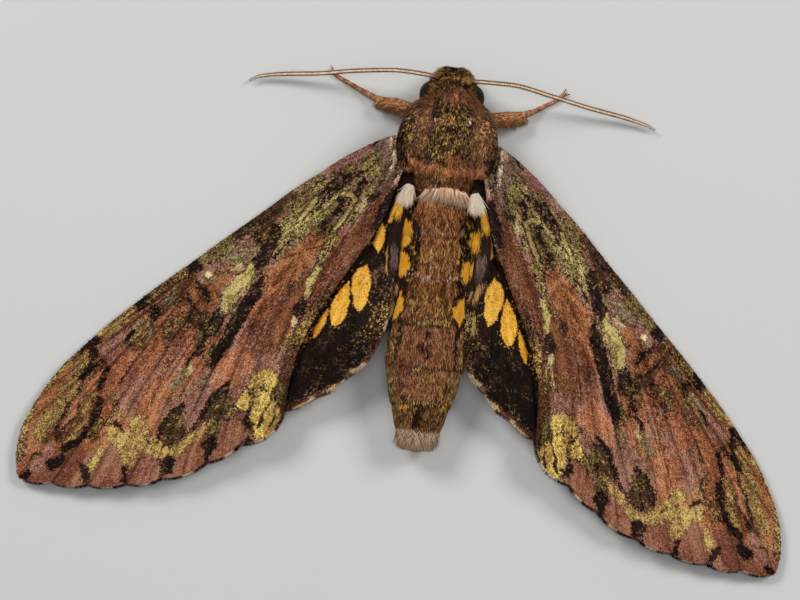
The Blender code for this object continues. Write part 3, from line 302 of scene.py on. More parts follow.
FOREWING_MARKS = (
    # Broad fields
    Patch("rust", ((12.5, 0.8), (24.5, 0.6), (31.0, 3.2), (30.0, 5.4), (24.0, 5.0), (13.0, 4.4)), 0.8),
    Patch("orange", (
        (31.0, -7.0), (48.0, -7.5), (58.0, -6.5), (68.0, 0.0), (60.0, 6.5), (52.0, 9.0), (44.0, 8.6),
        (38.0, 7.0), (33.0, 3.0), (31.5, -1.0),
    ), 1.0),
    Patch("purple", ((38.0, 5.4), (46.0, 5.6), (50.0, 8.6), (44.0, 9.4), (38.0, 9.0)), 1.0),
    Patch("purple", ((46.0, -1.4), (50.0, -0.4), (52.4, 2.6), (50.0, 4.4), (45.0, 1.6)), 1.0, 0.6, 0.75),
    Patch("purple", ((37.0, -0.4), (43.0, 0.4), (46.0, 2.8), (40.0, 2.4)), 0.8, 0.6, 0.7),
    Patch("rust", ((33.0, -3.6), (42.0, -3.6), (46.0, -2.4), (40.0, -1.8), (33.0, -2.2)), 0.6, 0.5, 0.75),
    Patch("umber", ((41.0, 4.6), (45.0, 5.4), (47.0, 7.0), (43.0, 6.6)), 0.8, 0.6, 0.5),
    Patch("umber", ((32.0, -2.2), (36.0, -2.0), (36.0, -0.4), (32.0, -0.6)), 0.6, 0.5, 0.6),
    Patch("purple", ((43.0, -6.0), (48.0, -6.0), (49.5, -3.0), (46.0, -3.4), (41.0, -4.4)), 0.7),
    Patch("umber", ((32.0, -6.4), (40.0, -6.4), (41.0, -3.4), (36.0, -3.4), (32.0, -3.0)), 0.8, 0.5, 0.8),
    Patch("umber", (
        (31.8, -4.4), (35.0, -3.6), (36.4, 0.4), (39.0, 2.6), (33.0, 3.4), (31.8, -1.6),
    ), 0.7, 0.5, 0.85),
    Patch("tan", ((31.5, 6.0), (38.5, 6.2), (40.0, 9.4), (34.0, 9.8)), 0.9, 0.5, 0.9),
    Patch("tan", ((44.0, -3.8), (48.6, -3.4), (49.0, -1.0), (45.0, -1.2), (40.0, -2.4)), 0.8, 0.5, 0.6),
    Patch("tan", ((44.0, 2.6), (48.0, 3.2), (48.0, 5.0), (43.0, 4.0)), 0.8, 0.5, 0.5),
    Patch("orange", ((15.0, 0.9), (19.4, 1.0), (19.4, 2.0), (15.0, 1.9))),
    Patch("orange", ((20.5, 0.9), (24.4, 1.0), (24.4, 1.7), (20.5, 1.7)), 0.5, 0.35, 0.8),
    Stroke("tan", ((24.6, 3.2), (27.6, 3.6)), 0.25),
    Patch("umber", (
        (3.0, 3.9), (8.0, 4.2), (21.0, 8.2), (27.0, 9.6), (34.0, 14.0), (36.0, 18.0), (24.0, 12.5),
        (3.0, 8.0),
    ), 0.8),
    Patch("brown", (
        (5.0, 3.4), (18.0, 4.4), (30.0, 5.0), (33.0, 9.0), (28.0, 9.8), (20.0, 8.0), (8.0, 6.0),
    ), 1.0, 0.6, 1.0),
    # A dark patch in the brown field: painted shadow.
    Patch("dark", ((19.5, 4.2), (24.0, 4.4), (24.0, 5.6), (20.5, 5.4)), 0.8, 0.5, 0.6),
    Patch("margin", (
        (62.0, -0.6), (68.5, 0.3), (62.0, 8.5), (54.0, 14.0), (45.0, 18.0), (37.5, 18.5), (39.5, 12.5),
        (46.0, 11.8), (51.5, 9.8), (54.0, 6.0), (60.0, 2.4),
    ), 0.6),
    Patch("purple", ((61.0, -0.8), (66.5, -0.4), (64.4, 2.2), (63.6, 0.4), (61.0, 0.2)), 0.4),
    # Lilac patches in the brown field: painted sheen of the scales.
    Patch("lilac", ((13.0, 6.2), (18.0, 6.6), (18.0, 8.2), (13.0, 7.2)), 0.8, 0.5, 0.2),
    Patch("lilac", ((27.0, 5.6), (32.0, 7.0), (33.0, 9.0), (28.0, 8.0)), 0.8, 0.6, 0.25),
    # The front edge from the root to the tip
    Patch("olive", ((9.0, -5.0), (14.5, -5.4), (14.0, -3.0), (9.0, -2.7))),
    Patch("dark", ((14.0, -5.6), (24.0, -6.6), (24.0, -4.0), (14.0, -3.0))),
    Stroke("flecked", ((15.0, -3.6), (18.0, -3.7)), 0.3),
    Stroke("flecked", ((20.4, -4.2), (22.4, -4.3)), 0.25),
    Patch("olive", ((24.0, -6.6), (30.0, -7.0), (30.0, -4.4), (24.0, -3.8)), 0.4, 0.3, 1.2),
    Patch("black", ((30.0, -7.0), (31.8, -7.0), (31.8, -4.4), (30.0, -4.4)), 0.3),
    Patch("flecked", ((31.7, -7.2), (38.0, -7.8), (38.0, -5.5), (31.7, -4.7)), 0.4),
    Patch("black", ((38.0, -7.8), (40.6, -8.0), (40.6, -5.8), (38.0, -5.6)), 0.3),
    Patch("band", ((40.6, -8.0), (47.2, -8.2), (47.0, -6.0), (40.6, -5.9)), 0.4),
    Patch("black", ((47.0, -8.2), (50.0, -8.2), (50.2, -6.0), (47.0, -6.0)), 0.3),
    Patch("flecked", (
        (50.0, -8.2), (58.0, -7.0), (66.6, -2.2), (65.0, -1.8), (58.0, -5.4), (50.0, -6.2),
    ), 0.4, 0.3, 1.2),
    # The lichen field at the root with its streaks
    Patch("lichen", (
        (1.6, -2.0), (8.0, -2.7), (12.0, -3.0), (16.0, -3.0), (19.0, -2.4), (22.6, 0.2), (21.0, 0.9),
        (16.0, 1.0), (14.2, 3.1), (8.0, 3.4), (4.0, 2.4), (2.0, 0.6),
    ), 0.6),
    Patch("costal", ((0.0, -3.0), (9.5, -5.0), (9.4, -2.8), (0.0, -1.2)), 0.3),
    Patch("bright", ((12.2, -2.0), (17.6, -2.2), (22.0, 0.0), (20.4, 0.6), (14.0, 0.4)), 1.0, 0.5, 0.55),
    Patch("black", (
        (4.0, -1.4), (9.0, -1.5), (13.8, -1.2), (13.0, -0.6), (9.0, -0.4), (4.6, -0.2),
    ), 0.5, 0.4, 0.75),
    Stroke("black", ((7.6, -1.9), (13.0, -1.9)), 0.25),
    Stroke("black", ((18.0, -0.2), (21.6, 0.4)), 0.16, 0.3, 0.3, 0.7),
    Stroke("black", ((6.0, 0.5), (7.8, 1.1)), 0.5, 0.4, 0.4, 0.8),
    Stroke("black", ((9.4, 0.3), (10.6, 1.0)), 0.4, 0.4, 0.4, 0.8),
    Stroke("black", ((11.0, 1.2), (14.5, 1.6)), 0.4, 0.4, 0.4, 0.75),
    Stroke("black", ((4.4, 2.2), (7.2, 2.8)), 0.25, 0.3, 0.4, 0.7),
    Stroke("bright", ((9.3, 0.1), (8.6, 0.6), (8.5, 1.7), (9.3, 1.9)), 0.3, 0.12, 0.1),
    Stroke("bright", ((9.6, 2.1), (11.5, 2.5), (13.9, 3.0)), 0.24, 0.12, 0.1),
    Stroke("bright", ((12.4, -1.9), (14.0, -1.5), (16.0, -1.1)), 0.26, 0.12, 0.1),
    Stroke("cream", ((8.35, 6.1), (8.5, 6.5), (8.8, 6.9)), 0.12, 0.08, 0.03),
    Stroke("cream", ((7.2, 1.9), (7.8, 2.6), (9.2, 3.3)), 0.3, 0.3, 0.3, 0.8),
    Stroke("bright", ((3.0, -0.9), (5.0, -0.9)), 0.25, 0.3, 0.3, 0.7),
    # The black bar behind it, and the bright block after that
    Patch("dark", ((17.0, -4.0), (22.5, -4.2), (22.6, -2.8), (17.0, -3.0)), 0.4),
    Patch("black", (
        (18.2, -2.6), (19.4, -3.4), (22.6, -3.2), (22.8, -2.1), (24.6, -1.5), (25.0, 0.3), (23.2, 0.5),
        (21.0, -0.4), (18.8, -1.5),
    ), 0.2, 0.15),
    Stroke("flecked", ((19.8, -3.0), (21.4, -2.7)), 0.2, 0.3, 0.3, 0.9),
    Patch("grey", ((22.8, -2.6), (24.0, -3.9), (27.8, -3.9), (28.2, -2.8), (25.5, -2.0), (23.0, -1.6))),
    Patch("rust", ((26.8, -2.4), (32.0, -2.4), (32.0, -0.6), (28.0, -0.9)), 0.4),
    Patch("lilac", ((28.2, -4.3), (31.8, -4.4), (31.8, -2.4), (28.4, -2.4)), 0.5, 0.4, 0.55),
    Stroke("grey", ((29.0, -3.0), (31.4, -2.8)), 0.3),
    Patch("bright", (
        (24.4, -1.4), (25.3, -1.1), (26.2, -0.9), (28.6, -0.8), (30.8, -0.4), (32.4, 0.5), (31.9, 1.9),
        (30.0, 1.6), (27.5, 1.0), (25.2, 0.4), (24.8, 0.2),
    ), 0.3, 0.25),
    Stroke("cream", ((26.0, -1.8), (27.2, -1.9)), 0.3),
    Patch("olive", ((24.0, 0.5), (26.4, 0.7), (26.4, 1.5), (24.0, 1.3)), 0.4),
    Stroke("stigma", ((30.0, -3.6), (30.2, -3.6)), 0.38, 0.1, 0.08),
    # The mottled cross band and the long black streak behind the block
    Stroke("black", ((32.1, -3.5), (32.2, -1.4)), 0.4, 0.4),
    Stroke("black", ((34.2, -3.4), (34.3, -0.2)), 0.3, 0.3, 0.4, 0.8),
    Stroke("rust", ((33.2, -4.0), (33.3, -0.6)), 0.35, 0.4),
    Stroke("flecked", ((36.6, -0.4), (37.0, -1.6), (38.6, -1.8), (40.0, -1.0)), 0.4, 0.4),
    Stroke("dark", ((37.4, -0.4), (38.6, -0.9), (40.2, -0.4)), 0.3, 0.4, 0.4, 0.8),
    Patch("black", ((31.8, 0.4), (35.2, 0.4), (36.6, 2.2), (35.0, 2.8), (32.8, 2.6)), 0.3, 0.3),
    Patch("olive", (
        (33.2, 0.8), (36.2, 1.2), (39.6, 2.6), (41.0, 4.0), (37.0, 3.0), (34.0, 1.8),
    ), 0.5, 0.5, 0.5),
    Patch("black", ((35.6, 2.2), (37.4, 2.2), (40.6, 3.2), (40.4, 4.0), (36.6, 3.5)), 0.3, 0.3, 0.9),
    Patch("cream", ((39.4, 3.6), (41.0, 3.8), (41.2, 4.7), (39.8, 4.6)), 0.3, 0.25, 0.9),
    Patch("lilac", ((40.5, 1.9), (42.5, 2.1), (42.5, 3.1), (40.6, 3.0)), 0.4, 0.3, 0.7),
    Patch("grey", ((41.0, 3.2), (44.0, 4.2), (43.8, 5.2), (41.0, 4.6))),
    Stroke("olive", ((35.6, 4.4), (38.0, 5.0)), 0.4),
    Patch("black", (
        (24.2, 0.8), (26.6, 1.1), (30.0, 1.9), (32.6, 2.9), (35.6, 4.2), (39.0, 6.0), (38.6, 6.6),
        (34.6, 5.5), (31.0, 4.4), (27.4, 3.2), (24.8, 2.1),
    ), 0.2, 0.2),
    Stroke("grey", ((38.6, 6.2), (40.4, 7.0)), 0.4),
    Stroke("olive", ((31.5, 3.3), (33.5, 3.9)), 0.25, 0.2, 0.3, 0.6),
    Stroke("dark", ((35.9, -3.2), (36.2, -1.6), (35.8, -0.2)), 0.2, 0.3, 0.4, 0.8),
    Stroke("dark", ((40.6, -2.4), (41.0, -1.2), (40.6, 0.4)), 0.16, 0.3, 0.4, 0.6),
    Stroke("dark", ((37.6, -0.1), (42.4, 1.6), (47.4, 4.4)), 0.14, 0.25, 0.3, 0.7),
    Stroke("dark", ((38.6, 3.1), (43.6, 5.4), (46.4, 7.2)), 0.14, 0.25, 0.3, 0.6),
    Stroke("dark", ((45.0, -1.6), (49.4, -0.2), (52.4, 1.6)), 0.14, 0.25, 0.3, 0.6),
    # Marks near the front edge, beyond the middle
    Patch("grey", ((34.8, -5.0), (37.8, -4.9), (37.8, -3.9), (34.8, -4.0))),
    Patch("black", ((38.0, -5.6), (39.8, -5.5), (40.0, -3.2), (38.0, -3.4)), 0.4),
    Patch("grey", ((39.6, -5.0), (42.0, -5.2), (45.0, -3.6), (43.6, -2.2), (40.4, -2.8)), 0.6),
    Stroke("band", ((40.2, -4.2), (43.4, -3.0)), 0.4, 0.4, 0.4, 0.8),
    Stroke("black", ((43.0, -4.3), (44.4, -4.1)), 0.3),
    # The tip
    Patch("black", ((47.6, -6.4), (50.1, -5.8), (49.8, -4.7), (47.9, -5.0)), 0.3),
    Patch("rust", ((50.0, -6.4), (58.0, -5.8), (64.0, -2.8), (63.0, -2.0), (57.0, -4.6), (50.2, -5.5)), 0.3),
    Patch("apex", (
        (49.8, -6.0), (52.0, -5.6), (56.0, -4.8), (59.0, -4.1), (62.0, -3.0), (62.6, -1.8), (60.0, -1.0),
        (58.0, -1.5), (56.0, -2.2), (54.0, -2.9), (52.0, -3.6), (50.2, -3.3),
    )),
    Patch("black", ((49.8, -5.2), (52.4, -4.6), (52.4, -3.8), (49.8, -4.0)), 0.25, 0.2),
    Patch("dark", ((48.2, -4.4), (50.2, -4.0), (50.2, -3.4), (48.4, -3.8)), 0.4),
    Stroke("black", ((52.6, -3.7), (57.0, -2.4), (59.0, -1.6)), 0.26, 0.3, 0.3, 0.85),
    Stroke("black", ((49.0, -3.0), (51.0, -2.0), (53.0, -1.2)), 0.44, 0.25, 0.25),
    Stroke("tan", ((50.0, -3.1), (54.0, -2.2), (58.4, -1.1)), 0.34, 0.2, 0.15),
    Stroke("dark", ((53.0, -1.7), (57.0, -0.9), (60.0, -0.6)), 0.36, 0.25, 0.25),
    Stroke("apex", ((52.4, -1.6), (54.0, -0.8), (57.0, 0.2), (59.4, 0.8)), 0.6),
    Stroke("band", ((53.4, -0.9), (55.6, 0.1), (57.8, 0.6), (59.4, 0.7)), 0.34),
    Patch("black", (
        (51.6, -1.2), (53.0, -0.6), (54.4, 0.2), (56.0, 0.6), (58.0, 1.0), (59.4, 0.8), (60.4, 0.6),
        (61.0, 1.3), (62.2, 1.0), (62.8, 0.4), (63.9, 1.4), (63.8, 2.4), (62.4, 2.6), (60.8, 1.9),
        (58.6, 2.1), (56.4, 2.0), (54.0, 1.2), (51.8, 0.0),
    ), 0.25, 0.25),
    Stroke("flecked", ((54.0, 1.4), (56.0, 2.1)), 0.5, 0.4),
    Stroke("dark", ((63.0, -0.4), (63.9, -0.9), (64.6, -0.7)), 0.2, 0.15, 0.1),
    Patch("black", ((65.4, 0.0), (67.6, 0.0), (67.0, 0.9), (65.8, 0.7)), 0.2, 0.1),
    # The pale band along the outer margin, with dark lobes before it
    Patch("flecked", ((50.4, 1.0), (54.0, 2.2), (53.0, 3.4), (51.0, 2.6)), 0.6),
    Patch("dark", (
        (44.2, 7.3), (46.0, 6.9), (48.5, 7.3), (50.2, 8.6), (49.6, 10.2), (46.5, 10.6), (45.4, 9.3),
    ), 0.4),
    Stroke("olive", ((44.8, 8.2), (46.6, 9.2)), 0.3, 0.4, 0.4, 0.8),
    Stroke("black", ((44.2, 7.3), (46.0, 6.9), (48.4, 7.3), (50.0, 8.5), (49.6, 10.0)), 0.34, 0.25, 0.2),
    Patch("dark", (
        (38.2, 9.4), (40.5, 8.9), (42.9, 9.6), (44.2, 10.8), (43.4, 12.4), (40.5, 11.9), (38.8, 11.0),
    ), 0.3),
    Stroke("olive", ((39.2, 10.2), (40.2, 11.4)), 0.5, 0.4, 0.4, 1.2),
    Stroke("black", (
        (38.0, 8.9), (40.5, 9.0), (42.5, 9.6), (44.5, 10.5), (47.0, 10.7), (49.0, 10.2),
    ), 0.32, 0.25, 0.2),
    Patch("band", (
        (48.5, 4.9), (50.4, 4.1), (51.8, 4.8), (53.0, 3.4), (54.4, 3.0), (55.1, 4.3), (54.5, 5.6),
        (55.5, 7.4), (55.6, 8.7), (53.6, 8.4), (52.4, 7.8), (52.2, 9.4), (50.6, 11.2), (48.0, 11.9),
        (46.0, 11.7), (44.2, 12.1), (44.4, 13.4), (42.8, 13.2), (41.6, 11.9), (43.4, 10.7), (44.6, 11.2),
        (46.6, 10.8), (49.2, 10.3), (50.0, 8.8), (50.5, 7.2), (49.7, 6.0),
    )),
    Stroke("band", ((56.4, 4.5), (60.0, 5.4)), 0.34),
    Stroke("olive", ((39.0, 12.4), (43.6, 12.4)), 0.5, 0.4),
    Stroke("black", ((52.4, 3.0), (52.5, 4.4)), 0.35),
    Stroke("dark", ((50.6, 6.6), (51.0, 7.9)), 0.2, 0.3, 0.3, 0.7),
    Stroke("black", ((59.9, 4.4), (60.4, 5.6), (61.2, 6.8)), 0.36, 0.3, 0.3),
    Stroke("black", ((55.8, 8.3), (57.2, 10.2)), 0.34, 0.3, 0.3),
    Patch("black", ((50.0, 10.8), (51.8, 10.6), (52.8, 12.4), (51.2, 12.9), (50.0, 12.0)), 0.3, 0.25),
    Patch("black", ((43.4, 12.9), (45.8, 12.6), (46.3, 14.5), (44.0, 14.4)), 0.3, 0.25),
    Stroke("black", ((46.0, 14.0), (46.9, 15.2)), 0.3, 0.25, 0.2),
    Stroke("black", ((52.2, 12.2), (53.0, 12.8)), 0.25, 0.25, 0.2),
    Patch("black", ((40.0, 16.2), (41.4, 16.1), (41.4, 17.2), (40.0, 17.2)), 0.3),
    # The yellow corner at the rear of the margin
    Patch("tornus", (
        (32.3, 11.0), (34.0, 10.4), (36.0, 11.2), (38.2, 11.6), (38.9, 12.8), (38.2, 14.0), (39.0, 15.5),
        (39.5, 17.2), (38.5, 18.0), (36.0, 17.6), (34.5, 16.5), (34.2, 15.0), (33.0, 13.6), (32.0, 12.5),
    ), 0.5),
    Patch("dark", ((33.4, 11.4), (36.8, 12.0), (36.8, 13.4), (34.2, 12.9)), 0.5, 0.5, 0.5),
    Stroke("dark", ((33.4, 13.6), (35.4, 14.6), (38.4, 16.2)), 0.24, 0.2, 0.25, 0.95),
    Stroke("dark", ((34.4, 15.4), (37.2, 17.2)), 0.22, 0.2, 0.25, 0.9),
    Stroke("dark", ((36.9, 13.2), (38.6, 14.2)), 0.22, 0.2, 0.25, 0.9),
    Stroke("dark", ((35.4, 10.8), (36.3, 12.2)), 0.22, 0.3, 0.3, 0.8),
    Patch("black", ((38.4, 13.8), (39.6, 14.0), (40.0, 16.0), (39.0, 16.0)), 0.5, 0.4, 0.85),
    Patch("olive", ((31.6, 13.2), (34.0, 13.8), (34.4, 16.0), (33.0, 15.4)), 0.5),
    # Small marks between the root and the corner
    Stroke("bright", ((17.8, 4.9), (19.5, 5.8), (21.9, 6.9)), 0.4, 0.3),
    Stroke("bright", ((22.2, 7.4), (23.4, 7.8)), 0.3, 0.3, 0.3, 0.8),
    Patch("cream", ((24.8, 7.9), (25.9, 8.0), (26.3, 9.5), (25.2, 9.9)), 0.25, 0.2, 0.95),
    Patch("lichen", ((13.6, 2.9), (16.5, 3.6), (18.2, 4.9), (16.6, 4.8), (13.8, 3.8)), 0.4),
    Patch("dark", ((14.2, 2.6), (16.0, 3.0), (18.0, 4.6), (16.6, 4.4)), 0.5, 0.4, 0.5),
    Patch("black", ((22.0, 6.6), (24.6, 6.8), (24.9, 9.6), (23.0, 9.0)), 0.4, 0.5, 0.95),
    Patch("flecked", ((19.2, 7.8), (23.4, 8.8), (29.0, 10.0), (29.0, 11.8), (24.0, 11.0), (19.2, 9.4)), 0.6),
    Stroke("dark", ((22.1, 4.8), (22.6, 4.8)), 0.28),
    # Black by the inner margin near the root: painted shadow.
    Patch("black", ((3.0, 3.6), (6.6, 4.4), (10.4, 6.8), (4.0, 6.4)), 0.4),
    # The root
    Patch("root_hair", (
        (-3.0, -2.5), (1.8, -2.3), (3.0, 0.6), (6.0, 2.6), (5.0, 3.8), (1.6, 3.4), (-3.0, 3.4),
    ), 0.6, 0.4),
    Stroke("black", ((-0.6, -0.2), (0.8, 1.6), (2.2, 3.0)), 0.26),
    Stroke("dark", ((2.6, 1.0), (6.4, 3.2)), 0.24, 0.3, 0.3, 0.7),
    Stroke("white", ((0.6, 0.2), (1.3, 1.2), (2.1, 1.8)), 0.26, 0.25, 0.2),
    Stroke("pale_band", ((-1.2, -1.1), (-0.2, -0.8)), 0.4),
    Stroke("pale_band", ((2.0, 3.4), (3.1, 3.8)), 0.35),
    Stroke("black", ((-2.0, -2.0), (2.0, -2.4)), 0.22),
)

HINDWING_MARKS = (
    Patch("hind_speckle", (
        (14.4, 13.8), (20.0, 14.8), (27.0, 15.6), (34.0, 15.8), (33.0, 18.0), (24.0, 19.4), (15.0, 17.6),
    ), 1.0, 0.5, 0.8),
    Patch("flecked", ((14.6, 14.0), (18.0, 14.8), (21.0, 16.6), (19.0, 18.2), (15.4, 16.6)), 1.0, 0.5, 0.5),
    Patch("hind_rust", (
        (20.0, 18.4), (24.0, 18.7), (30.0, 17.8), (36.0, 15.5), (43.0, 12.6), (43.0, 14.6), (34.0, 19.0),
        (24.0, 20.4), (18.0, 19.0),
    ), 0.4, 0.3),
    Patch("hind_orange", (
        (13.0, 9.2), (14.3, 8.9), (15.8, 9.3), (17.0, 10.6), (18.1, 12.5), (18.0, 13.4), (16.5, 13.0),
        (14.8, 11.9), (13.5, 10.6),
    ), 0.08, 0.08),
    Patch("hind_orange", (
        (16.1, 9.2), (18.0, 9.4), (20.0, 10.0), (21.0, 10.9), (21.9, 12.2), (21.5, 12.8), (19.8, 12.5),
        (18.3, 11.5), (17.0, 10.2),
    ), 0.08, 0.08),
    Patch("hind_orange", (
        (20.8, 10.2), (22.5, 10.6), (24.0, 11.1), (25.1, 12.0), (23.8, 12.0), (22.2, 11.4),
    ), 0.08, 0.08),
    Patch("hind_orange", ((3.6, 4.8), (5.4, 5.8), (7.2, 6.6), (7.0, 7.4), (5.8, 7.8), (4.4, 6.8)), 0.1, 0.1),
    Patch("hind_orange", (
        (7.9, 6.3), (9.4, 6.9), (10.8, 7.9), (10.9, 9.0), (9.4, 8.6), (8.2, 7.4),
    ), 0.1, 0.1),
    Patch("hind_orange", ((24.0, 6.6), (34.0, 9.6), (33.0, 11.4), (26.0, 9.6)), 0.3, 0.2),
    Patch("hind_rust", ((11.4, 10.6), (12.8, 10.4), (14.2, 12.2), (14.4, 13.6), (12.6, 12.6)), 0.4, 0.4, 0.9),
    Stroke("hind_speckle", ((12.4, 11.4), (13.6, 12.8)), 0.2, 0.3),
    Stroke("cream", ((22.0, 19.0), (23.6, 19.0)), 0.25, 0.15),
    Stroke("cream", ((25.8, 18.8), (28.0, 18.7)), 0.22, 0.15),
    Stroke("cream", ((30.5, 18.1), (33.0, 17.5)), 0.22, 0.15),
    Stroke("cream", ((15.0, 17.0), (17.0, 17.6)), 0.2, 0.15),
)

UNDER_MARKS = (
    Patch("under_yellow", ((-3.0, 1.0), (8.0, 1.5), (22.0, 4.0), (20.0, 12.0), (8.0, 9.0)), 2.0, 0.8, 0.6),
    Stroke("umber", ((34.0, -6.0), (35.5, 2.0), (33.0, 12.0)), 0.5, 0.6, 0.6, 0.55),
    Stroke("umber", ((42.0, -6.8), (43.5, 2.0), (39.0, 14.0)), 0.5, 0.6, 0.6, 0.55),
    Stroke("lilac", ((55.0, -5.5), (52.0, 8.0), (42.0, 13.5)), 0.9, 0.9, 0.8, 0.5),
    Stroke("umber", ((68.0, 0.0), (61.0, 7.1), (53.0, 13.0), (42.0, 16.6)), 1.4, 0.8, 0.5, 0.6),
)

# How far the right forewing's markings lie out along it and back from the left one's, by the place along it
RIGHT_SHIFT = ((0.0, 0.9), (50.0, 0.9), (67.0, 0.0))
RIGHT_SLIDE = (
    (0.0, -0.15), (20.0, 0.1), (29.0, 0.35), (37.0, 0.6), (46.0, 0.2), (56.0, -0.15), (67.0, -0.15),
)


def both_sides(mark):
    """A marking of the body and its mirror image, the left one first."""
    values = mark._asdict()
    key = "outline" if isinstance(mark, Patch) else "line"
    values[key] = tuple((-x, y) for x, y in values[key])
    return type(mark)(**values), mark


